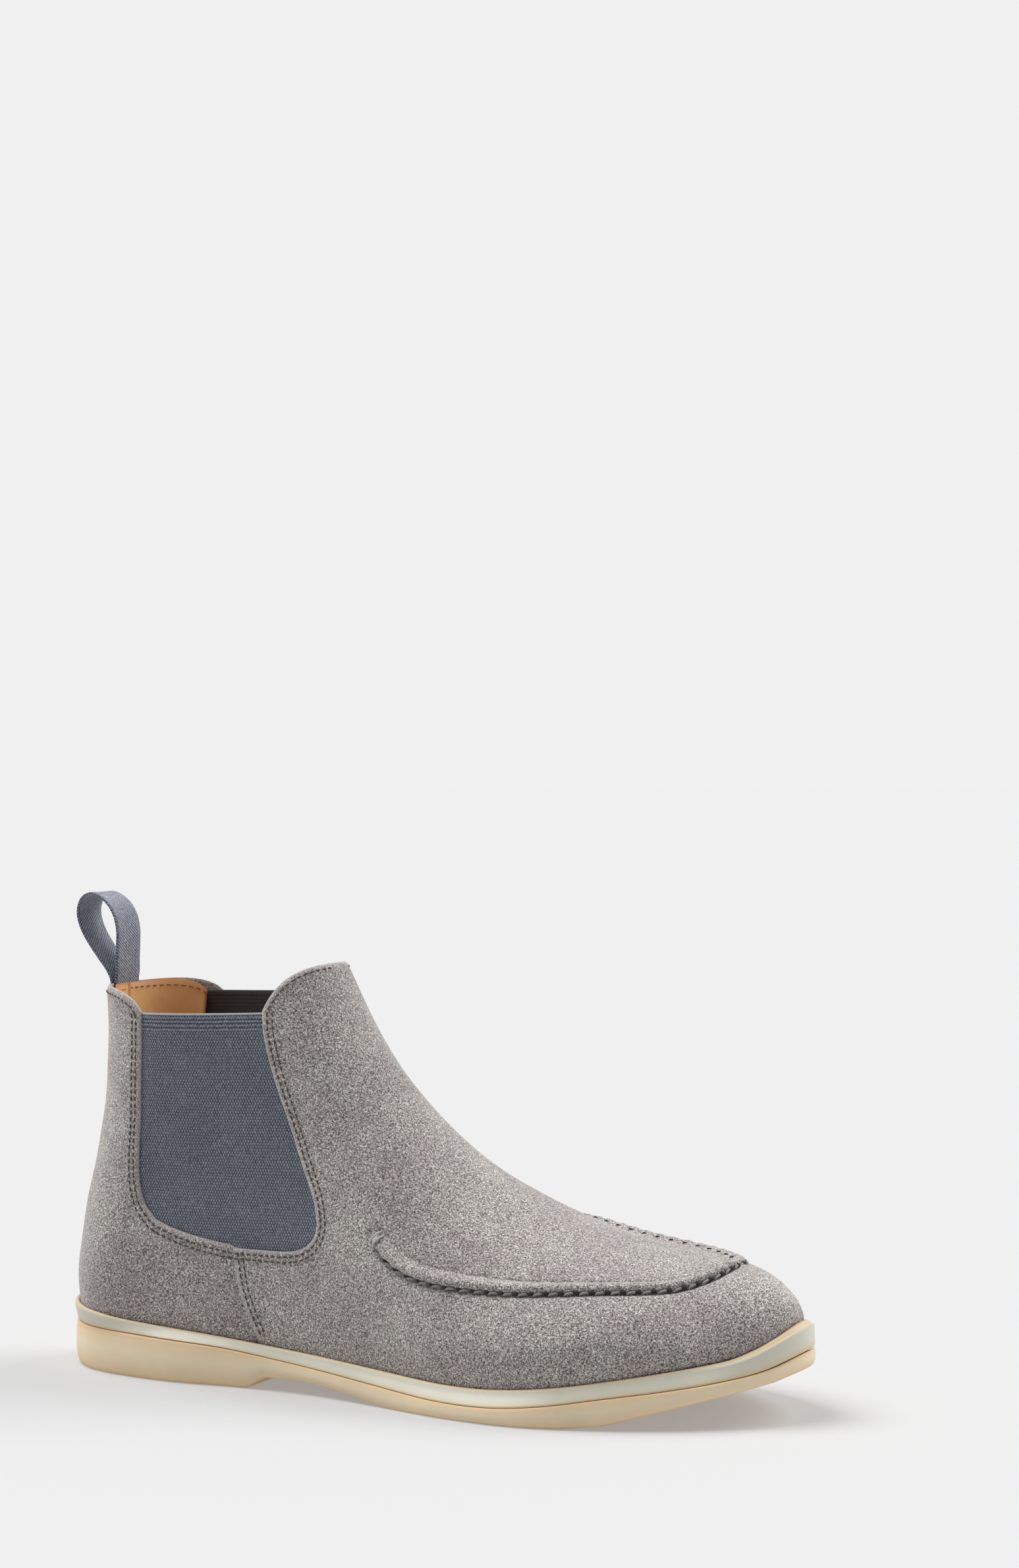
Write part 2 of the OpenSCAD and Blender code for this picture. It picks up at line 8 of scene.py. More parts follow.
import bpy
import numpy as np
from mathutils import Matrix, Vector


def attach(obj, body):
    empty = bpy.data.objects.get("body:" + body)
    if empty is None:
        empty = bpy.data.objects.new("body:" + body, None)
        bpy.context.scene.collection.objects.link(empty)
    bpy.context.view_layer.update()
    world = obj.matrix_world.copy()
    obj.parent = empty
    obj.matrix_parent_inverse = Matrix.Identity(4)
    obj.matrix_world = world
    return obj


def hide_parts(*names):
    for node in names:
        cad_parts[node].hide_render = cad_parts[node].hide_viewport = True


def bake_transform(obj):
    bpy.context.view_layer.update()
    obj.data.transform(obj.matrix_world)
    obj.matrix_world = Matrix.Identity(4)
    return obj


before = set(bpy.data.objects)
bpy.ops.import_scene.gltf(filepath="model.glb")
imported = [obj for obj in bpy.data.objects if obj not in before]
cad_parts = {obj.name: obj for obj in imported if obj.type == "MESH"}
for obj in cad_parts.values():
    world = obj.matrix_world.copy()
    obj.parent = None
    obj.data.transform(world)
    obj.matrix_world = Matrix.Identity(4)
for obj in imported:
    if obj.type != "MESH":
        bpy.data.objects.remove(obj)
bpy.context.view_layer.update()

MM = 0.001
HEEL_TO_ROW = np.array([-150.0, 2.4, 0.0])
TOE_X = 295.3

# ---- The last, as the part draws it ----

# The ridge in side view, as [x, z], and the back of the heel as [z, x]
RIDGE = [[18, 349], [58, 266], [98, 186], [113, 156.5], [124, 136], [134.3, 120.2],
         [145.5, 107], [158.6, 93.7], [171.8, 82.6], [184, 74.9], [199, 67.3], [214, 61.8],
         [229.5, 58.2], [242.5, 56.2], [254.5, 54.5], [266, 52.8], [276, 50.9], [284, 47.6],
         [289.5, 43.8], [293, 39.8], [295.3, 34.4]]
BACK = [[10, 3.6], [22, 3.4], [35, 2.8], [47, 4], [63, 6.4], [79, 9.7], [104, 14], [127, 15.6],
        [146, 15.2], [165, 15]]
# Feather line, where the suede meets the midsole's lip, as [x, z]
FEATHER = [[0, 26.2], [6, 24.8], [14, 23.9], [25, 22.8], [40, 21], [75, 18.1], [106, 15.5],
           [139, 13.1], [160, 11.8], [180, 11], [198, 11.3], [220, 13.4], [240, 16.4],
           [258, 19.5], [275, 22.8], [285, 25.8], [291, 28.9], [295, 32.2]]
# Half widths of the upper at its widest height, as [x, half width]
UPPER_LATERAL = [[0, 33], [60, 33], [90, 33], [120, 35.5], [150, 42], [180, 50], [200, 52.8],
                 [215, 52.8], [230, 50], [250, 42.5], [270, 31.5], [282, 22.5], [290, 14],
                 [295.3, 0]]
UPPER_MEDIAL = [[0, 32.5], [60, 32.5], [90, 30.5], [120, 29], [150, 31], [180, 39], [200, 45.5],
                [215, 48.5], [230, 48.5], [250, 44.5], [270, 35.5], [282, 26.5], [290, 17],
                [295.3, 0]]
# Width of the shaft against the foot's, as [z, factor]
SHAFT = [[0, 1], [45, 1], [70, 0.965], [95, 0.955], [120, 1.04], [145, 1.13], [165, 1.16]]
# Half widths of the outsole, its underside and the groove between the two sole bands, by x
SOLE_LATERAL = [[0, 0], [4, 13.5], [10, 21.5], [20, 29], [35, 34], [60, 37.5], [90, 36],
                [120, 38.5], [150, 45.5], [180, 54], [200, 57], [215, 56.5], [230, 53], [250, 46],
                [270, 36], [285, 25], [295, 13.5], [300, 0]]
SOLE_MEDIAL = [[0, 0], [4, 13.5], [10, 21.5], [20, 29], [35, 34], [60, 35.5], [90, 33],
               [120, 30.5], [150, 33], [180, 42], [200, 49], [215, 52], [230, 52], [250, 48],
               [270, 39], [285, 28], [295, 15], [300, 0]]
GROUND = [[0, 0], [91, 0], [99, 4.6], [112, 4.9], [125, 4.2], [140, 2], [155, 0], [225, 0],
          [240, 1.5], [259, 6.6], [277, 11.3], [291, 15], [300, 18.8]]
GROOVE = [[0, 17], [43, 16.5], [75, 15], [107, 11.5], [139, 8.5], [173, 6], [198, 5.9],
          [220, 7.9], [240, 11], [260, 13.8], [276, 16.5], [290, 20], [300, 25]]
# Sides of the gore window as [z, x], its lower edge as [part of its width, z]
GORE_REAR = [[60, 50], [66, 45], [77, 42.3], [100, 42.3], [137.3, 43.8]]
GORE_FRONT = [[63, 119.8], [71, 117.8], [83, 112], [100, 105], [116, 98.9], [130, 94.8],
              [139.2, 93.8]]
GORE_BOTTOM = [[0, 58], [0.15, 53], [0.3, 49.5], [0.5, 46], [0.85, 46], [1, 52]]
# Side seam between vamp and quarter, as [z, x]
SIDE_SEAM = [[10, 97.5], [18, 95], [36, 87.5], [51.2, 84.5]]
# Apron seam in side view on each side of the foot, as [x, z]
APRON_LATERAL = [[146, 60], [151, 55.2], [158, 50.9], [167, 48.2], [180, 46.5], [200, 45.6],
                 [215, 45.8], [230, 46.2], [245, 46.5], [254, 46.9], [259, 47.8], [262.5, 48.9],
                 [265.5, 50.2], [267.5, 51.5], [268.5, 52.1]]
APRON_MEDIAL = [[146, 62], [165, 61], [180, 61], [200, 60.4], [213, 59], [225, 56.7], [238, 54.6],
                [247, 53.4], [253, 52.8], [259, 52.5], [264.5, 52.3], [267, 52.2], [268.5, 52.1]]
APRON_REAR_X = 146
APRON_FRONT_X = 268.5
# Corners of the collar by side: -1 lateral, 1 medial, where the collar is higher
GORE_TOP_REAR = {-1: np.array([43.8, 137.3]), 1: np.array([44.0, 142.0])}
GORE_TOP_FRONT = {-1: np.array([93.8, 139.2]), 1: np.array([93.2, 144.7])}
COLLAR_BEND = {-1: np.array([39.0, 146.6]), 1: np.array([37.0, 149.0])}
GORE_LOW_FRONT = np.array([119.8, 63])
GORE_LOW_REAR = np.array([50.0, 60])
GORE_FOOT = np.array([104, 51.2])
# The points that the window's two lower corners are pulled towards
GORE_CORNER_FRONT = np.array([120.5, 51.4])
GORE_CORNER_REAR = np.array([62.0, 54])
SEAM_TOP = np.array([84.5, 51.2])
SEAM_FOOT_X = 96
COLLAR_BACK = np.array([15.2, 146.3])
TONGUE_FRONT_X = 112.8
TONGUE_BEND = np.array([99.5, 154.5])
# How far the top of the forefoot leans to the medial side
RIDGE_LEAN = 9
# Where the rows of the vamp meet the ridge and the lower edge, as [row fraction, x]; the last
# rows wrap the toe
RIDGE_ROWS = [[0, 112.8], [0.15, 132], [0.3, 157], [0.45, 189], [0.6, 225], [0.72, 252],
              [0.85, 281]]
LOWER_ROWS = [[0, 96], [0.3, 131], [0.6, 190], [0.8, 232], [1, 262]]
TOE_ROWS_FROM = 0.85
TOE_RIDGE_X = 281
TOE_EDGE_X = 262

# The floor's reflectance and its own glow; the room's brightness at the horizon and overhead,
# and the factor on its half towards -y
FLOOR_TONE = 0.385
FLOOR_GLOW = 0.26
HORIZON = 0.88
CEILING = 0.36
NEAR_SIDE = 0.42
# Each sun's power, angular size in degrees and direction
SUNS = {"overhead": (3.0, 42, (0.5, 0.12, -1.0)), "rim": (1.8, 40, (-0.53, -0.5, -0.75))}

# Thicknesses of the visible layers, and the depths of the second and third layer of the upper
SUEDE_T = 1.4
GORE_T = 1.15
LINING_T = 0.9
LAYER_1 = 1.7
LAYER_2 = 3.2
# How far the upper sinks into the midsole's lip
TUCK = 2.6
# How far the quarter runs on forward under the vamp, and the lining's front edge stays back
QUARTER_LAP = 9
LINING_SHIFT = 6.3
SEAM_STITCHES = 52
# Section of the apron seam's ridge, as [across, up], from its stitched side over the top
SEAM_SECTION = np.array([[-1.6, -1.1], [-1.95, -0.2], [-2.1, 0.7], [-1.9, 1.5], [-1.35, 2.05],
                         [-0.5, 2.3], [0.4, 2.15], [1.2, 1.65], [1.9, 1.1], [2.6, 0.6],
                         [3.3, 0.15], [4.1, -0.5]])
LOOP_WIDTH = 17.0
LOOP_T = 1.1
SOLE_LENGTH = 300
# Pitch of the gore's knitted courses down its length and of the wales across it
COURSE = 1.05
WALE = 1.1


def curve(table, x):
    """Smooth value at x of a table of [x, value] rows, straight on past its ends."""
    t = np.asarray(table, float)
    px, py = t[:, 0], t[:, 1]
    x = np.asarray(x, float)
    m = np.empty(len(px))
    m[1:-1] = (py[2:] - py[:-2]) / (px[2:] - px[:-2])
    m[0] = (py[1] - py[0]) / (px[1] - px[0])
    m[-1] = (py[-1] - py[-2]) / (px[-1] - px[-2])
    i = np.clip(np.searchsorted(px, x, side="right") - 1, 0, len(px) - 2)
    h = px[i + 1] - px[i]
    u = (x - px[i]) / h
    y = ((1 + 2 * u) * (1 - u) ** 2 * py[i] + u * (1 - u) ** 2 * h * m[i]
         + u * u * (3 - 2 * u) * py[i + 1] + u * u * (u - 1) * h * m[i + 1])
    y = np.where(x < px[0], py[0] + m[0] * (x - px[0]), y)
    return np.where(x > px[-1], py[-1] + m[-1] * (x - px[-1]), y)


def squares(table):
    return [[a, b * b] for a, b in table]


def ease(a, b, x):
    t = np.clip((x - a) / (b - a), 0, 1)
    return t * t * (3 - 2 * t)


def arc3(a, b, c, u):
    """Quadratic arc from a to c, pulled towards b."""
    u = np.asarray(u, float)[..., None]
    return (1 - u) ** 2 * a + 2 * u * (1 - u) * b + u * u * c


def unit(v):
    return v / np.maximum(np.linalg.norm(v, axis=-1, keepdims=True), 1e-12)


def run_of(points):
    """Distance along a line at each of its points."""
    return np.concatenate([[0], np.cumsum(np.linalg.norm(np.diff(points, axis=0), axis=1))])


def smoothed(v, half):
    """Mean of each value in the columns of v and the half values on either side of it."""
    k = np.ones(2 * half + 1) / (2 * half + 1)
    return np.stack([np.convolve(np.pad(c, half, "edge"), k, "valid") for c in v.T], -1)


def feather(x):
    return curve(FEATHER, x)


# Where the back of the heel crosses the feather line
HEEL_X = float(curve(BACK, feather(curve(BACK, feather(0)))))


def belly(x):
    """Height above the feather line at which the foot is widest."""
    return 13 - 11.5 * ease(225, TOE_X, x)


def rise(x, z):
    """How far z is from the widest height towards the ridge, 0 to 1."""
    z0 = feather(x) + belly(x)
    return (z - z0) / np.maximum(curve(RIDGE, x) - z0, 0.6)


def lean(x, z):
    """The forefoot's top leans towards the medial side, as a foot's instep does."""
    return (RIDGE_LEAN * ease(135, 205, x) * (1 - ease(250, TOE_X, x))
            * np.clip(rise(x, z), 0, 1) ** 2)


def half_sq(x, z, side):
    """Square of the upper's half width at x and z on one side: -1 lateral, 1 medial."""
    w = np.where(side > 0, curve(squares(UPPER_MEDIAL), x), curve(squares(UPPER_LATERAL), x))
    e = rise(x, z)
    forefoot = ease(140, 195, x) * (1 - ease(262, TOE_X, x))
    full = np.where(side > 0, 1 - 0.08 * forefoot, 1 + 0.35 * forefoot)
    down = (feather(x) + belly(x) - z) / belly(x)
    low = (1 - 0.045 * np.minimum(down, 1.5) ** 2) ** 2
    roof = np.where(e > 0, 1 - np.abs(e) ** (2 / full), low)
    k = 1 + (curve(SHAFT, z) - 1) * (1 - ease(105, 150, x))
    q = (x - curve(BACK, z)) / (31 + 9 * ease(50, 140, z))
    heel = np.where(q < 1, 1 - (1 - q) ** 2, 1)
    return w * k * k * heel * roof


def outward(x, z, side):
    """Unit direction out of the upper."""
    d = 0.2
    dx = (half_sq(x + d, z, side) - half_sq(x - d, z, side)) / (2 * d)
    dz = (half_sq(x, z + d, side) - half_sq(x, z - d, side)) / (2 * d)
    lx = (lean(x + d, z) - lean(x - d, z)) / (2 * d)
    lz = (lean(x, z + d) - lean(x, z - d)) / (2 * d)
    w = 2 * side * np.sqrt(np.maximum(0, half_sq(x, z, side)))
    return unit(np.stack([-dx - w * lx, w, -dz - w * lz], -1))


def wobble(p):
    """Slow, shallow unevenness of soft leather, in millimetres, at points p."""
    x, y, z = p[..., 0], p[..., 1], p[..., 2]
    return (0.22 * np.sin(x / 17 + 0.6 * np.sin(z / 13)) * np.cos(z / 19 + y / 23)
            + 0.13 * np.sin(x / 8.5 + z / 11 + 1.3) * np.sin(y / 9 + z / 7.5))


def skin(x, z, side, depth=0.0):
    """Points under the upper's outer surface, depth millimetres in."""
    x, z, side = np.broadcast_arrays(np.asarray(x, float), np.asarray(z, float),
                                     np.asarray(side, float))
    y = lean(x, z) + side * np.sqrt(np.maximum(0, half_sq(x, z, side)))
    p = np.stack([x, y, z], -1)
    v = outward(x, z, side)
    return p + v * (wobble(p) - np.asarray(depth))[..., None], v


# ---- Meshes ----

def to_row(p):
    return (np.asarray(p, float) + HEEL_TO_ROW) * MM


def place(name, data):
    """A new object in the scene with this data."""
    obj = bpy.data.objects.new(name, data)
    bpy.context.scene.collection.objects.link(obj)
    return obj


def mesh_object(name, points, faces, material, body="root", slot=None, uv=None, tone=None):
    """A piece from points in the heel frame; uv and tone are given per point."""
    mesh = bpy.data.meshes.new(name)
    mesh.from_pydata(to_row(points).tolist(), [], faces)
    mesh.validate()
    mesh.polygons.foreach_set("use_smooth", [True] * len(mesh.polygons))
    if uv is not None:
        layer = mesh.uv_layers.new(name="UVMap")
        index = np.empty(len(mesh.loops), int)
        mesh.loops.foreach_get("vertex_index", index)
        layer.data.foreach_set("uv", np.asarray(uv, np.float32)[index].ravel())
    if tone is not None:
        mesh.attributes.new("tone", "FLOAT", "POINT").data.foreach_set(
            "value", np.asarray(tone, np.float32))
    mesh.materials.append(material)
    mesh.update()
    obj = place(name, mesh)
    if body:
        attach(obj, body)
    return obj


def grid_faces(rows, cols, start=0, flip=False, wrap=False):
    """Four-sided faces between the points of a grid; wrap joins its last column to the first."""
    faces = []
    for i in range(rows - 1):
        for j in range(cols if wrap else cols - 1):
            k = (j + 1) % cols
            a, b, c, d = i * cols + j, i * cols + k, (i + 1) * cols + k, (i + 1) * cols + j
            q = (a + start, b + start, c + start, d + start)
            faces.append(q[::-1] if flip else q)
    return faces


def slab(name, outer, inner, material, slot, tone=None, uv=None, body="root"):
    """A closed sheet between two grids of points."""
    rows, cols = outer.shape[:2]
    n = rows * cols
    a, b = rows // 2, cols // 4
    f = np.cross(outer[a + 1, b] - outer[a, b], outer[a, b + 1] - outer[a, b])
    flip = float(f @ (outer[a, b] - inner[a, b])) > 0
    faces = grid_faces(rows, cols, 0, flip) + grid_faces(rows, cols, n, not flip)
    ring = (list(range(cols)) + [i * cols + cols - 1 for i in range(1, rows)]
            + [(rows - 1) * cols + j for j in range(cols - 2, -1, -1)]
            + [i * cols for i in range(rows - 2, 0, -1)])
    for a, b in zip(ring, ring[1:] + ring[:1]):
        q = (b, a, n + a, n + b)
        faces.append(q[::-1] if flip else q)
    points = np.concatenate([outer.reshape(-1, 3), inner.reshape(-1, 3)])
    both = lambda v, k: None if v is None else np.concatenate([v.reshape(-1, *k)] * 2)
    return mesh_object(name, points, faces, material, body, slot, uv=both(uv, (2,)),
                       tone=both(tone, ()))


def distance_to(line, x, z):
    """Distance in side view from points to a polyline."""
    line = np.asarray(line, float)
    p = np.stack([x, z], -1)[..., None, :]
    a, d = line[:-1], line[1:] - line[:-1]
    t = np.clip(((p - a) * d).sum(-1) / np.maximum((d * d).sum(-1), 1e-9), 0, 1)
    return np.linalg.norm(p - (a + t[..., None] * d), axis=-1).min(-1)


def sheet(name, x, z, side, depth, thickness, material, slot, edge_line):
    """A layer of the upper on a grid; its cut edge is rounded and marked in the tone attribute."""
    d = distance_to(edge_line, x, z)
    depth = depth + np.zeros(x.shape) + 0.55 * np.clip(1 - d / 1.1, 0, 1) ** 2
    tone = np.clip(1 - d / 1.5, 0, 1)
    outer, v = skin(x, z, side, depth)
    inner = outer - v * (thickness - (depth - depth.min()) * 0.5)[..., None]
    return slab(name, outer, inner, material, slot, tone)


def tube_faces(rings, sides, start):
    """Faces of a closed tube, its two ends included."""
    faces = grid_faces(rings, sides, start, wrap=True)
    faces.append(tuple(start + j for j in range(sides))[::-1])
    faces.append(tuple(start + (rings - 1) * sides + j for j in range(sides)))
    return faces


def stitches(name, points, normals, pitch, length, radius, material, rise, slant=0.0):
    """Thread stitches along a line on the upper, each an arched tube whose ends dive in."""
    rings, sides = 7, 6
    points, normals = np.asarray(points, float), np.asarray(normals, float)
    run = run_of(points)
    count = max(1, int(run[-1] / pitch))
    step = run[-1] / count
    at = lambda s, v: np.stack([np.interp(s, run, v[:, k]) for k in range(3)], -1)
    verts, faces = [], []
    for i in range(count):
        mid = (i + 0.5) * step
        s = mid + length * (np.linspace(0, 1, rings) - 0.5)
        p, v = at(s, points), unit(at(s, normals))
        along = unit(at([mid + 0.4], points) - at([mid - 0.4], points))[0]
        across = unit(np.cross(v, along))
        u = np.linspace(-1, 1, rings)
        p = (p + v * (rise * (1 - u ** 4) - 0.25 * np.abs(u) ** 4)[:, None]
             + across * (slant * u)[:, None])
        r = radius * np.sqrt(np.clip(1 - 0.75 * u ** 6, 0.1, 1))
        angle = np.arange(sides) * 2 * math.pi / sides
        ring = (p[:, None] + across[:, None] * (np.cos(angle)[None, :, None] * r[:, None, None])
                + v[:, None] * (np.sin(angle)[None, :, None] * r[:, None, None]))
        faces += tube_faces(rings, sides, len(verts))
        verts += ring.reshape(-1, 3).tolist()
    return mesh_object(name, verts, faces, material, "root", "thread")


def line_on_upper(line, side, depth):
    """Points and outward directions along a side-view line, depth millimetres in."""
    return skin(line[:, 0], line[:, 1], side, depth)


def resample(line, step):
    """The same polyline with points about a step apart."""
    line = np.asarray(line, float)
    run = run_of(line)
    s = np.linspace(0, run[-1], max(2, int(run[-1] / step)))
    return np.stack([np.interp(s, run, line[:, k]) for k in range(line.shape[1])], -1)


def shifted(line, d):
    """A side-view line moved d to the left of its direction."""
    line = resample(line, 1.0)
    t = unit(smoothed(unit(np.gradient(line, axis=0)), 3))
    return line + d * np.stack([-t[:, 1], t[:, 0]], -1)


# ---- Materials ----

class Nodes:
    """A node material with short calls for its nodes."""

    def __init__(self, name):
        self.material = bpy.data.materials.new(name)
        self.material.use_nodes = True
        self.tree = self.material.node_tree
        self.tree.nodes.clear()
        self.shader = self.tree.nodes.new("ShaderNodeBsdfPrincipled")
        out = self.tree.nodes.new("ShaderNodeOutputMaterial")
        self.tree.links.new(self.shader.outputs[0], out.inputs["Surface"])

    def put(self, socket, value):
        if isinstance(value, bpy.types.NodeSocket):
            self.tree.links.new(value, socket)
        else:
            socket.default_value = value

    def add(self, kind, out=0, props=None, **values):
        node = self.tree.nodes.new(kind)
        for key, value in (props or {}).items():
            setattr(node, key, value)
        for key, value in values.items():
            self.put(node.inputs[int(key[1:]) if key[1:].isdigit() else key.replace("_", " ")],
                     value)
        return node.outputs[out]

    def math(self, kind, a, b=0.0, c=0.0):
        return self.add("ShaderNodeMath", props={"operation": kind}, _0=a, _1=b, _2=c)

    def plus(self, a, b):
        return self.math("ADD", a, b)

    def times(self, a, b):
        return self.math("MULTIPLY", a, b)

    def object_coords(self):
        return self.add("ShaderNodeTexCoord", out=3)

    def uv(self):
        """The two UV values, as sockets."""
        split = self.tree.nodes.new("ShaderNodeSeparateXYZ")
        self.put(split.inputs[0], self.add("ShaderNodeTexCoord", out=2))
        return split.outputs[0], split.outputs[1]

    def noise(self, scale, detail, rough, distortion=0.0, coords=None):
        return self.add("ShaderNodeTexNoise", Vector=coords or self.object_coords(), Scale=scale,
                        Detail=detail, Roughness=rough, Distortion=distortion)

    def ramp(self, value, stops):
        node = self.tree.nodes.new("ShaderNodeValToRGB")
        while len(node.color_ramp.elements) < len(stops):
            node.color_ramp.elements.new(0.5)
        for element, (at, colour) in zip(node.color_ramp.elements, stops):
            element.position = at
            element.color = (*colour, 1)
        self.put(node.inputs[0], value)
        return node.outputs[0]

    def mix(self, factor, a, b, blend="MIX"):
        node = self.tree.nodes.new("ShaderNodeMix")
        node.data_type = "RGBA"
        node.blend_type = blend
        self.put(node.inputs[0], factor)
        self.put(node.inputs[6], a if isinstance(a, bpy.types.NodeSocket) else (*a, 1))
        self.put(node.inputs[7], b if isinstance(b, bpy.types.NodeSocket) else (*b, 1))
        return node.outputs[2]

    def tone(self, name="tone"):
        return self.add("ShaderNodeAttribute", out=2, props={"attribute_name": name})

    def bump(self, height, strength, distance):
        return self.add("ShaderNodeBump", Strength=strength, Distance=distance, Height=height)

    def set(self, **values):
        for key, value in values.items():
            socket = self.shader.inputs[key.replace("_", " ")]
            if key in ("Base_Color", "Sheen_Tint") and isinstance(value, tuple):
                value = (*value, 1)
            self.put(socket, value)
        return self.material


def srgb(r, g, b):
    """Linear colour from 0 to 255 values."""
    f = lambda c: c / 12.92 if c <= 0.04045 else ((c + 0.055) / 1.055) ** 2.4
    return tuple(f(v / 255) for v in (r, g, b))


def suede_material():
    """Short nap: salt and pepper fibres, soft brushed patches, paler raw edges."""
    n = Nodes("suede")
    coords = n.object_coords()
    fibre = n.noise(1850, 1, 0.5, 0.7, coords)
    speck = n.noise(3200, 1, 0.5, 0.5, coords)
    nap = n.noise(210, 2, 0.55, 0.8, coords)
    patch = n.noise(34, 3, 0.55, 0.8, coords)
    grain = n.plus(n.times(fibre, 0.66), n.times(speck, 0.34))
    colour = n.ramp(grain, [(0.36, srgb(78, 73, 72)), (0.5, srgb(152, 146, 143)),
                            (0.64, srgb(226, 221, 216))])
    shade = n.ramp(nap, [(0.3, (0.96, 0.95, 0.955)), (0.7, (1.04, 1.04, 1.035))])
    colour = n.mix(1.0, colour, shade, "MULTIPLY")
    warmth = n.ramp(patch, [(0.34, (0.88, 0.86, 0.88)), (0.66, (1.1, 1.11, 1.1))])
    colour = n.mix(1.0, colour, warmth, "MULTIPLY")
    colour = n.mix(n.times(n.tone(), 0.5), colour, srgb(186, 181, 176))
    height = n.plus(n.times(grain, 0.75), n.times(nap, 0.25))
    return n.set(Base_Color=colour, Roughness=0.95, Specular_IOR_Level=0.1, Sheen_Weight=0.45,
                 Sheen_Roughness=0.45, Sheen_Tint=(0.94, 0.91, 0.89),
                 Normal=n.bump(height, 0.8, 0.0006))


def gore_material():
    """Elastic webbing: short staggered knit stitches, plainer ribs at the top, a pale selvedge."""
    n = Nodes("elastic_gore")
    u, v = n.uv()
    across = n.plus(u, n.times(n.noise(320, 2, 0.5), 0.5))
    down = n.plus(v, n.times(n.noise(290, 2, 0.5), 0.4))
    course = n.math("SINE", n.times(down, 2 * math.pi / COURSE))
    row = n.math("FLOOR", n.math("DIVIDE", down, COURSE))
    stagger = n.times(n.math("MODULO", row, 2.0), math.pi)
    wale = n.math("SINE", n.plus(n.times(across, 2 * math.pi / WALE), stagger))
    stitch = n.times(wale, n.plus(n.times(course, 0.5), 0.5))
    knit = n.plus(n.times(stitch, 0.42), n.plus(n.times(course, 0.07), 0.5))
    ribs = n.math("SINE", n.times(down, 2 * math.pi / 1.5))
    top = n.math("LESS_THAN", v, 6.5)
    rib_part = n.times(n.times(n.plus(ribs, 1.0), 0.2), top)
    knit_part = n.times(knit, n.math("SUBTRACT", 1.0, n.times(top, 0.4)))
    fuzz = n.noise(1250, 2, 0.6)
    value = n.plus(n.times(n.plus(knit_part, rib_part), 0.55), n.times(fuzz, 0.45))
    colour = n.ramp(value, [(0.3, srgb(44, 47, 55)), (0.5, srgb(92, 96, 107)),
                            (0.7, srgb(152, 157, 170))])
    mottled = n.ramp(n.noise(60, 3, 0.5), [(0.35, (0.93, 0.94, 0.96)), (0.65, (1.07, 1.06, 1.05))])
    colour = n.mix(1.0, colour, mottled, "MULTIPLY")
    selvedge = n.math("LESS_THAN", v, 0.7)
    colour = n.mix(n.times(selvedge, 0.75), colour, srgb(178, 184, 190))
    # Painted shade: the back face, marked by the inside attribute, is mixed to near black for the
    # dark inside of the boot
    colour = n.mix(n.tone("inside"), colour, n.mix(value, srgb(30, 28, 28), srgb(74, 70, 69)))
    return n.set(Base_Color=colour, Roughness=0.85, Specular_IOR_Level=0.25, Sheen_Weight=0.2,
                 Sheen_Roughness=0.5, Normal=n.bump(value, 0.7, 0.0004))


def webbing_material():
    """Fine twill tape with a tighter, darker woven edge."""
    n = Nodes("twill_webbing")
    across, along = n.uv()
    slant = n.plus(n.times(across, 0.7), along)
    twill = n.math("SINE", n.times(slant, 2 * math.pi / 1.2))
    yarn = n.math("SINE", n.times(across, 2 * math.pi / 0.9))
    weave = n.plus(n.times(n.plus(twill, 1.0), 0.28), n.times(n.plus(yarn, 1.0), 0.22))
    fuzz = n.noise(1250, 2, 0.6)
    value = n.plus(n.times(weave, 0.45), n.times(fuzz, 0.55))
    colour = n.ramp(value, [(0.3, srgb(62, 64, 76)), (0.5, srgb(124, 127, 142)),
                            (0.7, srgb(190, 193, 208))])
    drift = n.ramp(n.noise(120, 2, 0.5), [(0.35, (0.93, 0.93, 0.94)), (0.65, (1.06, 1.06, 1.05))])
    colour = n.mix(1.0, colour, drift, "MULTIPLY")
    rim = n.math("ABSOLUTE", n.math("SUBTRACT", across, LOOP_WIDTH / 2))
    rim = n.ramp(n.math("SUBTRACT", rim, 7.2), [(0.0, (0, 0, 0)), (0.9, (0.35, 0.35, 0.35))])
    colour = n.mix(rim, colour, srgb(58, 60, 70))
    return n.set(Base_Color=colour, Roughness=0.8, Specular_IOR_Level=0.25, Sheen_Weight=0.25,
                 Sheen_Roughness=0.5, Normal=n.bump(value, 0.8, 0.0005))


def leather_material(name, base, dark):
    """Smooth tan leather: fine pores, slow colour drift, darker cut edge."""
    n = Nodes(name)
    pores = n.add("ShaderNodeTexVoronoi", Vector=n.object_coords(), Scale=1400.0)
    drift = n.noise(45, 4, 0.6)
    colour = n.mix(n.ramp(drift, [(0.35, (0, 0, 0)), (0.7, (1, 1, 1))]), base, dark)
    colour = n.mix(n.times(n.tone(), 0.85), colour, srgb(176, 98, 46))
    height = n.plus(n.times(pores, 0.5), n.noise(500, 3, 0.6))
    return n.set(Base_Color=colour, Roughness=0.5, Specular_IOR_Level=0.4,
                 Normal=n.bump(height, 0.25, 0.0003))


def rubber_material(name, stops, rough):
    """Moulded rubber whose colour follows the height in the tone attribute."""
    n = Nodes(name)
    colour = n.ramp(n.tone(), stops)
    cloud = n.ramp(n.noise(55, 3, 0.55), [(0.3, (0.96,) * 3), (0.7, (1.04,) * 3)])
    colour = n.mix(1.0, colour, cloud, "MULTIPLY")
    fine = n.noise(900, 3, 0.6)
    return n.set(Base_Color=colour, Roughness=rough, Specular_IOR_Level=0.35,
                 Subsurface_Weight=0.06, Subsurface_Radius=(0.004, 0.003, 0.002),
                 Normal=n.bump(fine, 0.12, 0.0003))


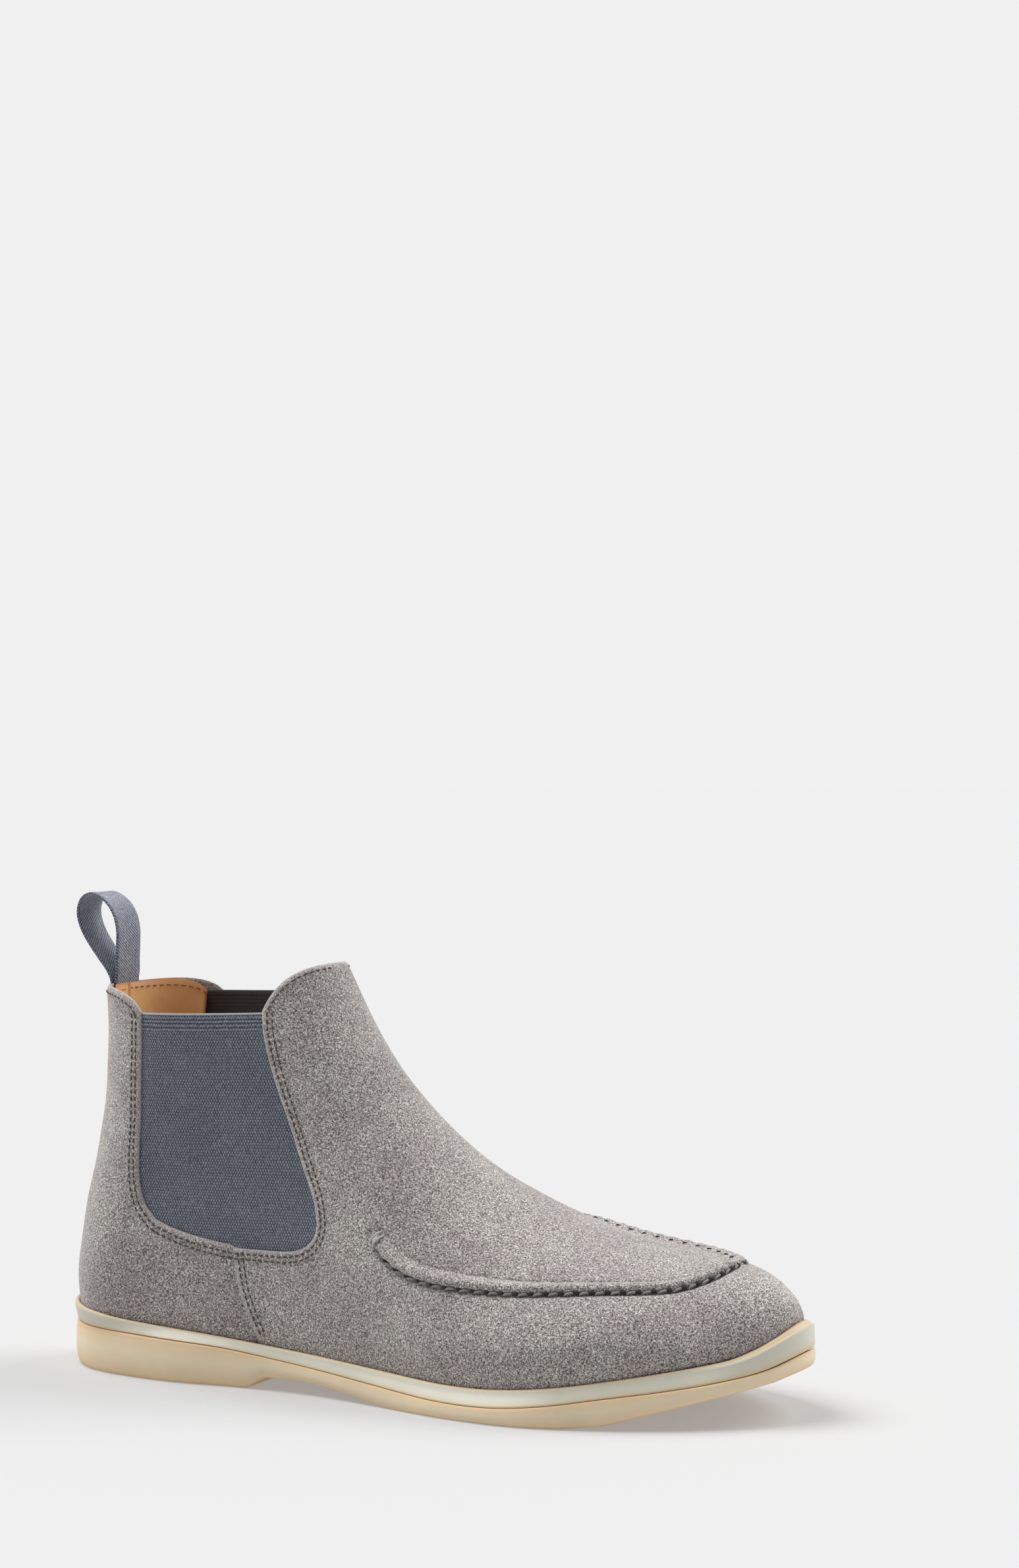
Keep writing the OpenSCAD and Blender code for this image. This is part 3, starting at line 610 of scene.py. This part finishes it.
def thread_material(name, light, dark):
    """Twisted thread."""
    n = Nodes(name)
    ply = n.add("ShaderNodeTexWave", out=1, props={"bands_direction": "DIAGONAL"},
                Vector=n.object_coords(), Scale=900.0, Distortion=1.5)
    colour = n.mix(ply, dark, light)
    return n.set(Base_Color=colour, Roughness=0.7, Specular_IOR_Level=0.3,
                 Normal=n.bump(ply, 0.5, 0.0002))


def speckled_material(name, light, dark, scale, rough, metallic=0.0):
    """Cork, board, foam, tape and metal that sit inside the boot."""
    n = Nodes(name)
    grain = n.noise(scale, 4, 0.65, 0.4)
    colour = n.mix(n.ramp(grain, [(0.35, (0, 0, 0)), (0.65, (1, 1, 1))]), dark, light)
    return n.set(Base_Color=colour, Roughness=rough, Metallic=metallic,
                 Normal=n.bump(grain, 0.3, 0.0004))


SUEDE = suede_material()
GORE = gore_material()
WEBBING = webbing_material()
LINING = leather_material("tan_lining", srgb(252, 200, 138), srgb(234, 172, 110))
OUTSOLE = rubber_material("cream_rubber", [
    (0.0, srgb(224, 192, 152)), (0.12, srgb(232, 208, 172)), (0.6, srgb(236, 220, 190)),
    (0.85, srgb(232, 210, 174)), (1.0, srgb(216, 186, 146))], 0.6)
MIDSOLE = rubber_material("ivory_rubber", [
    (0.0, srgb(212, 182, 144)), (0.14, srgb(216, 202, 172)), (0.34, srgb(212, 208, 192)),
    (0.82, srgb(210, 208, 194)), (0.95, srgb(206, 186, 154)), (1.0, srgb(150, 104, 78))], 0.45)
THREAD = thread_material("grey_thread", srgb(104, 98, 96), srgb(54, 50, 49))
DARK_THREAD = thread_material("dark_thread", srgb(66, 58, 59), srgb(30, 26, 28))
APRON_THREAD = thread_material("apron_thread_grey", srgb(172, 167, 163), srgb(108, 103, 101))
LIGHT_THREAD = thread_material("tack_thread", srgb(216, 216, 214), srgb(150, 148, 148))
TAN_THREAD = thread_material("tan_thread", srgb(190, 128, 72), srgb(140, 86, 44))
FOAM = speckled_material("footbed_foam", srgb(228, 222, 206), srgb(204, 196, 176), 900, 0.95)
STIFFENER = speckled_material("stiffener", srgb(222, 214, 196), srgb(196, 186, 166), 600, 0.7)
# Materials of the CAD nodes that are kept as they are
INNER = {
    "cork_filler": speckled_material("cork", srgb(178, 136, 92), srgb(112, 76, 44), 500, 0.85),
    "shank": speckled_material("steel", srgb(176, 180, 186), srgb(140, 144, 150), 300, 0.35, 1.0),
    "insole_board": speckled_material("board", srgb(190, 168, 132), srgb(160, 138, 104), 800, 0.9),
    "toe_puff": STIFFENER,
    "heel_counter": STIFFENER,
    "back_seam_tape": speckled_material("tape", srgb(232, 228, 218), srgb(206, 202, 192), 900,
                                        0.9),
    "pull_loop_tails": WEBBING,
}


# ---- Vamp and apron seam ----

def tongue_arc(side, u):
    """Top line of the vamp from the ridge to the gore."""
    front = np.array([TONGUE_FRONT_X, float(curve(RIDGE, TONGUE_FRONT_X))])
    return arc3(front, TONGUE_BEND, GORE_TOP_FRONT[side], u)


def collar_arc(side, u, shift=0.0):
    """Top line of a quarter from the back seam to the gore; shift moves its front end back."""
    return arc3(COLLAR_BACK, COLLAR_BEND[side] - [shift, 0], GORE_TOP_REAR[side] - [shift, 0], u)


def vamp_rear(n, side):
    """Rear edge of the vamp from the ridge to the lower edge, as side-view points."""
    u = np.arange(n) / n
    top = GORE_TOP_FRONT[side][1]
    front_z = top + (GORE_LOW_FRONT[1] - top) * np.arange(2 * n) / (2 * n)
    seam_drop = feather(SEAM_FOOT_X) - TUCK - SEAM_TOP[1]
    seam_z = SEAM_TOP[1] + seam_drop * np.arange(n + 1) / n
    return np.concatenate([
        tongue_arc(side, u ** 1.5),
        np.stack([curve(GORE_FRONT, front_z), front_z], -1),
        arc3(GORE_LOW_FRONT, GORE_CORNER_FRONT, GORE_FOOT, u),
        GORE_FOOT + (SEAM_TOP - GORE_FOOT) * (np.arange(n // 2) / (n // 2))[:, None],
        np.stack([curve(SIDE_SEAM, seam_z), seam_z], -1)])


def vamp_grid(rows, n):
    """Side-view grid over the whole vamp, with its columns from the lateral to the medial edge."""
    lateral, medial = vamp_rear(n, -1), vamp_rear(n, 1)
    edge = np.concatenate([lateral[:0:-1], medial])
    m = len(medial) - 1
    t = np.linspace(0, 1, rows)[:, None]
    k = np.arange(-m, m + 1)
    r = ((np.abs(k) / m) ** 2)[None, :]
    s = (t - TOE_ROWS_FROM) / (1 - TOE_ROWS_FROM) / 0.8
    toe_part = np.sin(np.clip(s, 0, 1) * math.pi / 2)
    x_ridge = np.where(t <= TOE_ROWS_FROM, curve(RIDGE_ROWS, np.minimum(t, TOE_ROWS_FROM)),
                       TOE_RIDGE_X + (TOE_X - TOE_RIDGE_X) * toe_part)
    drop = np.clip((s - 1) * 4, 0, 1)
    z_ridge = curve(RIDGE, x_ridge) * (1 - drop) + (feather(TOE_X) - TUCK) * drop
    x_low = curve(LOWER_ROWS, t)
    x_toe = TOE_X + (TOE_EDGE_X - TOE_X) * r
    parts = []
    for c, ridge, low, toe in ((0, x_ridge, x_low, x_toe),
                               (1, z_ridge, feather(x_low) - TUCK, feather(x_toe) - TUCK)):
        rear = edge[:, c][None] - (medial[0, c] + (medial[-1, c] - medial[0, c]) * r)
        front = toe - (toe[0, m] + (toe[0, -1] - toe[0, m]) * r)
        parts.append(ridge + (low - ridge) * r + (1 - t) ** 3 * rear + t ** 3 * front)
    side = np.sign(k)[None, :] + np.zeros_like(parts[0])
    return parts[0], parts[1], side


def apron_side_x(s):
    """x along the apron seam, for s from -1 (lateral end) over 0 (toe) to 1 (medial end)."""
    back = 1.25 * s * s / (np.abs(s) + 0.25)
    return APRON_FRONT_X + (APRON_REAR_X - APRON_FRONT_X) * back


def apron_line(n, reach=1.0):
    """Points, outward and across directions of the apron seam, lateral end first."""
    s = np.linspace(-reach, reach, n)
    x = apron_side_x(s)
    z = np.where(s > 0, curve(APRON_MEDIAL, x), curve(APRON_LATERAL, x))
    z = np.minimum(z, curve(RIDGE, x))
    side = np.sign(s)
    p, v = skin(x, z, side)
    along = unit(smoothed(unit(np.gradient(p, axis=0)), 4))
    v = unit(v - (v * along).sum(-1, keepdims=True) * along)
    return p, v, along, np.cross(v, along)


def make_vamp():
    """The vamp's suede, with a valley along the lower side of the apron seam."""
    x, z, side = vamp_grid(240, 20)
    line = apron_line(280)[0]
    surface = skin(x, z, side)[0]
    d = np.stack([np.linalg.norm(row[:, None] - line, axis=-1).min(-1) for row in surface])
    valley = 0.95 * np.exp(-((d - 2.5) / 1.2) ** 2)
    edge = np.concatenate([vamp_rear(20, -1)[::-1], vamp_rear(20, 1)])
    obj = sheet("vamp_suede", x, z, side, valley, SUEDE_T, SUEDE, "suede", edge)
    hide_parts("vamp")


def make_apron():
    """The seam is pinched out of the vamp: steep on the stitched side, soft above, scalloped."""
    n = 560
    p, v, along, across = apron_line(n)
    run = run_of(p)
    pitch = run[-1] / SEAM_STITCHES
    pinch = np.cos(2 * math.pi * run / pitch)
    end = np.clip(np.minimum(run, run[-1] - run) / 3.0, 0, 1) ** 0.5
    rows = []
    for q in SEAM_SECTION:
        lean = 0.22 * (q[0] < 0) * pinch
        rows.append(p + across * ((q[0] + lean) * (0.8 + 0.2 * end))[:, None]
                    + v * (q[1] * end * (1 + 0.06 * pinch) - 0.15)[:, None])
    outer = np.stack(rows, 1)
    inner = np.stack([p + across * q[0] * 0.9 - v * 1.25 for q in SEAM_SECTION], 1)
    obj = slab("apron_ridge_suede", outer, inner, SUEDE, "suede", np.zeros(outer.shape[:2]))
    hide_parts("apron_seam")
    q, w, _, c = apron_line(n, 0.985)
    obj = stitches("apron_thread", q - c * 2.75, w, pitch, pitch * 0.7, 0.5, APRON_THREAD,
                   rise=0.35, slant=0.45)
    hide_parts("apron_stitches")
    # Dark tubes in the gaps between the outer stitches as painted shade, and the stitches on the
    # medial run's inner side
    half_pitch = n // (2 * SEAM_STITCHES)
    stitches("apron_painted_gap_shade", (q - c * 2.5)[half_pitch:], w[half_pitch:], pitch,
             pitch * 0.36, 0.75, DARK_THREAD, rise=0.45)
    stitches("apron_inner_thread", (q + c * 2.1)[n // 2:], w[n // 2:], pitch, pitch * 0.4, 0.42,
             DARK_THREAD, rise=0.8, slant=0.5)
    make_tacks(p, v, along, across)


def make_tacks(p, v, along, across):
    """Two light loops of thread over each end of the seam."""
    verts, faces = [], []
    for i, way in ((0, 1), (-1, -1)):
        for back in (0.4, 2.2):
            c = p[i] + along[i] * back * way
            t = np.linspace(-0.15, 1.15, 15) * math.pi
            path = (c + across[i] * (2.7 * np.cos(t))[:, None]
                    + v[i] * (2.5 * np.sin(t) + 0.1)[:, None])
            path = path + along[i] * (0.5 * np.sin(t * 0.5))[:, None]
            tangent = unit(np.gradient(path, axis=0))
            side = unit(np.cross(tangent, along[i]))
            angle = np.arange(8) * math.pi / 4
            ring = path[:, None] + 0.42 * (along[i] * np.cos(angle)[None, :, None]
                                           + side[:, None] * np.sin(angle)[None, :, None])
            faces += tube_faces(len(t), 8, len(verts))
            verts += ring.reshape(-1, 3).tolist()
    obj = mesh_object("apron_tack_thread", verts, faces, LIGHT_THREAD, "root", "thread")
    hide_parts("apron_bar_tacks")


# ---- Quarters, gores and lining ----

def quarter_lines(n, side, forward=0.0, inner_shift=0.0):
    """Outer (back and lower) and inner (gore) lines of a quarter, in step with each other."""
    u = np.arange(n) / n
    v = np.arange(n + 1) / n
    low_z = feather(HEEL_X) - TUCK
    z_back = COLLAR_BACK[1] + (low_z - COLLAR_BACK[1]) * u
    x0 = float(curve(BACK, low_z))
    x_low = x0 + (SEAM_FOOT_X + forward - x0) * v ** 2
    outer = np.concatenate([np.stack([curve(BACK, z_back), z_back], -1),
                            np.stack([x_low, feather(x_low) - TUCK], -1)])
    top = GORE_TOP_REAR[side][1]
    z_gore = top + (GORE_LOW_REAR[1] - top) * u
    inner = np.concatenate([
        np.stack([curve(GORE_REAR, z_gore) - inner_shift, z_gore], -1),
        arc3(GORE_LOW_REAR - [inner_shift, inner_shift * 0.3],
             GORE_CORNER_REAR - [0, inner_shift], SEAM_TOP + [forward, 0], v)])
    return outer, inner


def quarter_grid(n, cols, side, forward=0.0, inner_shift=0.0):
    """Side-view grid over a quarter, from its outer to its inner line."""
    outer, inner = quarter_lines(n, side, forward, inner_shift)
    last = 2 * n
    t = (np.arange(last + 1) / last)[:, None, None]
    c = (np.arange(cols + 1) / cols) ** 1.7
    k = c[None, :, None]
    top = inner[0]
    collar = (collar_arc(side, c, inner_shift)
              - (COLLAR_BACK + (top - COLLAR_BACK) * c[:, None]))[None]
    chord = outer[last] + (inner[last] - outer[last]) * c[:, None]
    seam = np.stack([curve(SIDE_SEAM, chord[:, 1]) + forward, chord[:, 1]], -1)
    p = (outer[:, None] + (inner - outer)[:, None] * k + (1 - t) ** 3 * collar
         + t ** 3 * (seam - chord)[None])
    return p[..., 0], p[..., 1]


def make_quarter(side, word):
    """A quarter's suede, which dips under the vamp along the side seam."""
    x, z = quarter_grid(60, 44, side, QUARTER_LAP)
    under = 1.25 * ease(-6.5, -0.3, x - curve(SIDE_SEAM, np.clip(z, 10, SEAM_TOP[1])))
    under = under * (z < GORE_LOW_REAR[1])
    _, inner = quarter_lines(60, side, QUARTER_LAP)
    edge = np.concatenate([collar_arc(side, np.linspace(0, 1, 40)), inner])
    obj = sheet(f"quarter_suede_{word}", x, z, side, under, SUEDE_T, SUEDE, "suede", edge)
    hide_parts(f"quarter_{word}")


def gore_outline(side, n=60):
    """The window's edge from the rear top corner round the bottom to the front top corner."""
    z = np.linspace(GORE_TOP_REAR[side][1], GORE_LOW_REAR[1], n)
    zf = np.linspace(GORE_LOW_FRONT[1], GORE_TOP_FRONT[side][1], n)
    return np.concatenate([
        np.stack([curve(GORE_REAR, z), z], -1),
        arc3(GORE_LOW_REAR, GORE_CORNER_REAR, SEAM_TOP, np.linspace(0, 1, n))[1:],
        np.linspace(SEAM_TOP, GORE_FOOT, 20)[1:],
        arc3(GORE_LOW_FRONT, GORE_CORNER_FRONT, GORE_FOOT, np.linspace(1, 0, n))[1:],
        np.stack([curve(GORE_FRONT, zf), zf], -1)[1:]])


def make_gore(side, word):
    """An elastic gore, whose margins run on under the quarter and the vamp."""
    rows, cols = 80, 72
    u = np.linspace(0, 1, cols)[None, :]
    v = np.linspace(0, 1, rows)[:, None]
    rear_z, front_z = GORE_TOP_REAR[side][1], GORE_TOP_FRONT[side][1]
    top = rear_z + (front_z - rear_z) * u - 0.5 * np.sin(u * math.pi)
    z = top + (curve(GORE_BOTTOM, u) - top) * v
    rear = curve(GORE_REAR, np.maximum(z, GORE_LOW_REAR[1])) - 10
    front = curve(GORE_FRONT, np.maximum(z, GORE_LOW_FRONT[1])) + 6
    x = rear + (front - rear) * u
    outer, d = skin(x, z, side, LAYER_1 - 0.15)
    inner = outer - d * GORE_T
    uv = np.stack([x, top - z], -1)
    obj = slab(f"gore_elastic_{word}", outer, inner, GORE, "elastic", uv=uv)
    # The inside attribute marks the back face, which the gore material darkens as painted shade
    inside = np.concatenate([np.zeros(x.size), np.ones(x.size)])
    obj.data.attributes.new("inside", "FLOAT", "POINT").data.foreach_set(
        "value", inside.astype(np.float32))
    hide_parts(f"gore_{word}")


def make_linings():
    """Tan leather behind the vamp and the two quarters."""
    x, z, side = vamp_grid(90, 8)
    edge = np.concatenate([vamp_rear(8, -1)[::-1], vamp_rear(8, 1)])
    obj = sheet("vamp_lining_leather", x, z, side, LAYER_2 - 0.5, LINING_T, LINING,
                "lining_leather", edge)
    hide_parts("vamp_lining")
    for s, word in ((-1, "lateral"), (1, "medial")):
        x, z = quarter_grid(40, 26, s, inner_shift=LINING_SHIFT)
        edge = np.concatenate([collar_arc(s, np.linspace(0, 1, 40), LINING_SHIFT),
                               quarter_lines(40, s, 0, LINING_SHIFT)[1]])
        obj = sheet(f"quarter_lining_leather_{word}", x, z, s, LAYER_2 - 0.3, LINING_T, LINING,
                    "lining_leather", edge)
        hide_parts(f"quarter_lining_{word}")


def make_stitching():
    """Rows of stitches round each gore, on the side seams, tongue, collar and inside collar."""
    seam_z = np.linspace(50, 19, 30)
    seam = np.stack([curve(SIDE_SEAM, seam_z), seam_z], -1)
    for side, word in ((-1, "lateral"), (1, "medial")):
        window = gore_outline(side)
        split = int(np.argmin(np.hypot(*(window - SEAM_TOP).T)))
        tongue = tongue_arc(side, np.linspace(0.02, 0.97, 40))
        collar = collar_arc(side, np.linspace(0.03, 0.97, 40))
        lines = {f"tongue_stitches_{word}": shifted(tongue, 2.0),
                 f"collar_stitches_{word}": shifted(collar, -2.2)}
        for row, d in enumerate((1.9, 3.9)):
            lines[f"gore_stitches_{word}_quarter_{row + 1}"] = shifted(window[:split + 1], -d)
            lines[f"gore_stitches_{word}_vamp_{row + 1}"] = shifted(window[split:], -d)
            lines[f"side_seam_stitches_{word}_{row + 1}"] = shifted(seam, d - 0.2)
        for name, line in lines.items():
            p, v = line_on_upper(line, side, -0.05)
            stitches(name, p, v, 2.6, 1.9, 0.3, THREAD, rise=0.12)
        p, v = line_on_upper(shifted(collar - [4, 0.3], -2.4), side, LAYER_2 + 0.65)
        stitches(f"lining_stitches_{word}", p, -v, 2.8, 2.1, 0.25, TAN_THREAD, rise=0.1)


def make_back_seam():
    """Dark stitches down the middle of the heel."""
    z = np.linspace(145.5, feather(HEEL_X) + 0.5, 120)
    p, v = skin(curve(BACK, z), z, 0.0, 0.35)
    stitches("back_seam_thread", p, v, 2.3, 2.1, 0.42, DARK_THREAD, rise=0.15)


# ---- Sole ----

def plan(a, x0, x1, lateral, medial):
    """Plan outline by angle: 0 is the heel's back, a quarter turn lateral, a half turn the toe."""
    x = x0 + (x1 - x0) * (1 - np.cos(a)) / 2
    s = np.where(np.sin(a) >= 0, -1.0, 1.0)
    return np.stack([x, s * np.sqrt(np.maximum(0, np.where(s > 0, medial(x), lateral(x))))], -1)


def sole_plan(a):
    return plan(a, 0, SOLE_LENGTH, lambda x: curve(squares(SOLE_LATERAL), x),
                lambda x: curve(squares(SOLE_MEDIAL), x))


def upper_plan(a):
    """Outline of the upper at the feather line."""
    return plan(a, HEEL_X, TOE_X, lambda x: half_sq(x, feather(x), -1.0),
                lambda x: half_sq(x, feather(x), 1.0))


def inset(f, a, d):
    """A plan outline moved d inwards."""
    t = unit(f(a + 0.015) - f(a - 0.015))
    return f(a) + np.asarray(d)[..., None] * np.stack([-t[:, 1], t[:, 0]], -1)


def ground(x):
    """Height of the outsole's underside."""
    return np.interp(x, *np.array(GROUND, float).T)


def rings_object(name, rings, material, slot, tones):
    """A closed solid from rings round the foot; the first and last are closed across it."""
    cap_rows = 9
    n = rings[0].shape[0]
    half = n // 2
    verts = list(rings)
    tone = [np.full(n, t) for t in tones]
    faces = grid_faces(len(rings), n, wrap=True)
    for base, ring, t, flip in ((0, rings[0], tones[0], True),
                                ((len(rings) - 1) * n, rings[-1], tones[-1], False)):
        left, right = np.arange(half + 1), (-np.arange(half + 1)) % n
        start = sum(len(v) for v in verts)
        inner = [ring[left] + (ring[right] - ring[left]) * c
                 for c in np.linspace(0, 1, cap_rows + 2)[1:-1]]
        index = [base + left] + [start + i * (half + 1) + np.arange(half + 1)
                                 for i in range(cap_rows)] + [base + right]
        verts += inner
        tone += [np.full(half + 1, t)] * cap_rows
        for a, b in zip(index[:-1], index[1:]):
            for j in range(half):
                q = tuple(dict.fromkeys((int(a[j]), int(b[j]), int(b[j + 1]), int(a[j + 1]))))
                if len(q) > 2:
                    faces.append(q if flip else q[::-1])
    return mesh_object(name, np.concatenate(verts), faces, material, "root", slot,
                       tone=np.concatenate(tone))


def make_outsole(a):
    """Outsole with a bulging edge, from rings of [distance in, part of the height]."""
    profile = [(4.0, 0.0), (2.6, 0.0), (1.7, 0.02), (1.0, 0.07), (0.5, 0.16), (0.15, 0.3),
               (0.0, 0.48), (0.02, 0.66), (0.12, 0.82), (0.3, 0.93), (0.6, 0.985), (2.3, 1.0)]
    rings = []
    for d, h in profile:
        p = inset(sole_plan, a, d)
        low, high = ground(p[:, 0]), curve(GROOVE, p[:, 0])
        rings.append(np.column_stack([p, low + (high - low) * h]))
    obj = rings_object("outsole_rubber", rings, OUTSOLE, "cream_rubber", [h for _, h in profile])
    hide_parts("outsole")


def make_midsole(a):
    """Midsole band with a soft rolled lip; at the toe it swells until it is flush below."""
    foot, upper = sole_plan(a), upper_plan(a)
    toe = ease(262, 296, upper[:, 0])
    groove = curve(GROOVE, foot[:, 0])
    top = feather(upper[:, 0]) + 2.0 * ease(276, 294, upper[:, 0])
    rings, tones = [], []
    for d, h in ((2.3, 0.0), (0.9, 0.01), (0.7, 0.05)):
        rings.append(np.column_stack([inset(sole_plan, a, d - (d - 0.5) * toe),
                                      groove + (top - groove) * h]))
        tones.append(h)
    base = inset(sole_plan, a, 0.6 - 0.4 * toe)
    lip = inset(upper_plan, a, -2.2 - 1.6 * toe)
    for h in (0.14, 0.24, 0.36, 0.5, 0.64, 0.76, 0.88):
        k = ease(-0.1, 1.0, h)
        rings.append(np.column_stack([base * (1 - k) + lip * k, groove + (top - groove) * h]))
        tones.append(h)
    for d, dz, t in ((-2.0, -0.2, 0.92), (-1.6, 0.08, 0.94), (-1.1, 0.18, 0.955),
                     (-0.6, 0.1, 0.975), (-0.12, -0.2, 1.0), (-0.1, -TUCK - 0.3, 1.0)):
        outward_part = (-d - 0.1) / 1.9
        swell = 1.3 * toe * outward_part
        drop = 1.4 * toe * outward_part ** 3
        rings.append(np.column_stack([inset(upper_plan, a, d - swell), top + dz - drop]))
        tones.append(t)
    obj = rings_object("midsole_rubber", rings, MIDSOLE, "ivory_rubber", tones)
    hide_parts("midsole")


def make_footbed():
    """Foam footbed and its leather cover, cupped a little at the edge."""
    a = np.linspace(0, 2 * math.pi, 241)[:-1]
    for name, node, low, high, material, slot in (
            ("footbed_foam", "footbed", 1.2, 5.0, FOAM, "foam"),
            ("sock_liner_leather", "sock_liner", 5.15, 6.1, LINING, "lining_leather")):
        rings = []
        for d, z, cup in ((7.5, low, 0), (5.6, low + 0.2, 0), (5.25, (low + high) / 2, 0.2),
                          (5.4, high - 0.1, 0.9), (6.5, high, 0.8), (10.0, high, 0.3),
                          (14.0, high, 0.0)):
            p = inset(upper_plan, a, d)
            rings.append(np.column_stack([p, feather(p[:, 0]) + z + cup]))
        obj = rings_object(name, rings, material, slot, [0.0] * len(rings))
        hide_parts(node)


# ---- Pull loop ----

def loop_path(steps):
    """Middle line of the webbing: up out of the collar, round, and back down beside itself."""
    points = np.array([[17.9, 131], [18.2, 140], [18.3, 147], [18.7, 151], [18.7, 155.5],
                       [18.9, 161.5], [18.9, 167], [17.6, 172.4], [14.8, 176.8], [10.8, 179.9],
                       [6.8, 181], [3.3, 179.4], [1.5, 175.6], [1.6, 171.4], [3.6, 166.3],
                       [7.3, 160.8], [11.7, 155.3], [15.2, 150.8], [16.8, 146.5], [17.0, 140],
                       [16.7, 131]])
    n = len(points)
    u = np.linspace(0, n - 1.001, steps)
    i = np.floor(u).astype(int)
    f = (u - i)[:, None]
    a, b, c, d = (points[np.clip(i + k, 0, n - 1)] for k in (-1, 0, 1, 2))
    return b + 0.5 * f * (c - a + f * (2 * a - 5 * b + 4 * c - d + f * (3 * b - 3 * c + d - a)))


def make_loop():
    """The webbing loop, cupped a little across."""
    cols, half_width = 15, LOOP_WIDTH / 2
    path = resample(loop_path(600), 0.9)
    tangent = unit(np.gradient(path, axis=0))
    normal = np.stack([tangent[:, 1], -tangent[:, 0]], -1)
    run = run_of(path)
    y = np.linspace(-1, 1, cols)
    y = np.sign(y) * np.abs(y) ** 0.85 * half_width
    edge = 1 - 0.45 * np.clip(np.abs(y) - half_width + 1, 0, 1) ** 2
    cup = 0.25 * (y / 10) ** 2
    sides = []
    for sign in (1, -1):
        off = sign * LOOP_T / 2 * edge[None, :] + cup[None, :]
        x = path[:, :1] + normal[:, :1] * off
        z = path[:, 1:] + normal[:, 1:] * off
        sides.append(np.stack([x, np.broadcast_to(y, x.shape), z], -1))
    uv = np.stack(np.broadcast_arrays(y[None, :] + half_width, run[:, None]), -1)
    obj = slab("pull_loop_webbing", *sides, WEBBING, "webbing", uv=uv, body=None)
    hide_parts("pull_loop")
    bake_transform(obj)


# ---- Studio ----

def make_floor():
    """A wide floor of pale paper."""
    mesh = bpy.data.meshes.new("studio_floor")
    reach = 60.0
    mesh.from_pydata([(-reach, -reach, 0), (reach, -reach, 0), (reach, reach, 0),
                      (-reach, reach, 0)], [], [(0, 1, 2, 3)])
    n = Nodes("studio_paper")
    tint = n.ramp(n.noise(0.5, 2, 0.5),
                  [(0.3, (FLOOR_TONE,) * 3), (0.7, (FLOOR_TONE + 0.002,) * 3)])
    mesh.materials.append(n.set(Base_Color=tint, Roughness=1.0, Specular_IOR_Level=0.0,
                                Emission_Color=(1.0, 1.0, 1.0, 1.0), Emission_Strength=FLOOR_GLOW))
    place("studio_floor", mesh)


def make_room():
    """A soft white room, brightest at the horizon and dimmer on its half towards -y."""
    world = bpy.data.worlds.new("studio")
    bpy.context.scene.world = world
    world.use_nodes = True
    add, link = world.node_tree.nodes.new, world.node_tree.links.new
    back = world.node_tree.nodes["Background"]
    back.inputs[1].default_value = 1.0
    place, split = add("ShaderNodeTexCoord"), add("ShaderNodeSeparateXYZ")
    height, depth = add("ShaderNodeValToRGB"), add("ShaderNodeValToRGB")
    link(place.outputs["Generated"], split.inputs[0])
    link(split.outputs[2], height.inputs[0])
    behind = add("ShaderNodeMath")
    behind.operation = "MULTIPLY_ADD"
    behind.inputs[1].default_value = behind.inputs[2].default_value = 0.5
    link(split.outputs[1], behind.inputs[0])
    link(behind.outputs[0], depth.inputs[0])
    for node, at, colours in ((height, (0.27, 0.5), (HORIZON, CEILING)),
                              (depth, (0.3, 0.6), (NEAR_SIDE, 1))):
        for stop, position, value in zip(node.color_ramp.elements, at, colours):
            stop.position = position
            stop.color = (value, value, value, 1)
    both = add("ShaderNodeMix")
    both.data_type, both.blend_type = "RGBA", "MULTIPLY"
    both.inputs[0].default_value = 1.0
    link(height.outputs[0], both.inputs[6])
    link(depth.outputs[0], both.inputs[7])
    link(both.outputs[2], back.inputs[0])


def make_suns():
    for name, (power, angle, direction) in SUNS.items():
        sun = bpy.data.lights.new(name, "SUN")
        sun.energy = power
        sun.angle = math.radians(angle)
        light = place(name, sun)
        light.rotation_euler = Vector(direction).to_track_quat("-Z", "Y").to_euler()


def make_camera():
    """Level camera ahead of the boot's lateral side; the boot stands low in the frame."""
    data = bpy.data.cameras.new("camera")
    data.lens = 70.1
    data.sensor_width = 36
    cam = place("camera", data)
    cam.location = (0.4988, -1.0204, 0.226)
    cam.rotation_euler = Vector((-0.4147, 0.91, -0.0019)).to_track_quat("-Z", "Y").to_euler()
    bpy.context.scene.camera = cam


make_camera()
make_floor()
make_room()
make_suns()
bpy.context.scene.view_settings.view_transform = "Standard"
for node, material in INNER.items():
    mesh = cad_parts[node].data
    mesh.materials.clear()
    mesh.materials.append(material)
make_vamp()
make_apron()
for side, word in ((-1, "lateral"), (1, "medial")):
    make_quarter(side, word)
    make_gore(side, word)
make_linings()
make_stitching()
make_back_seam()
around = np.linspace(0, 2 * math.pi, 721)[:-1]
make_outsole(around)
make_midsole(around)
make_footbed()
make_loop()
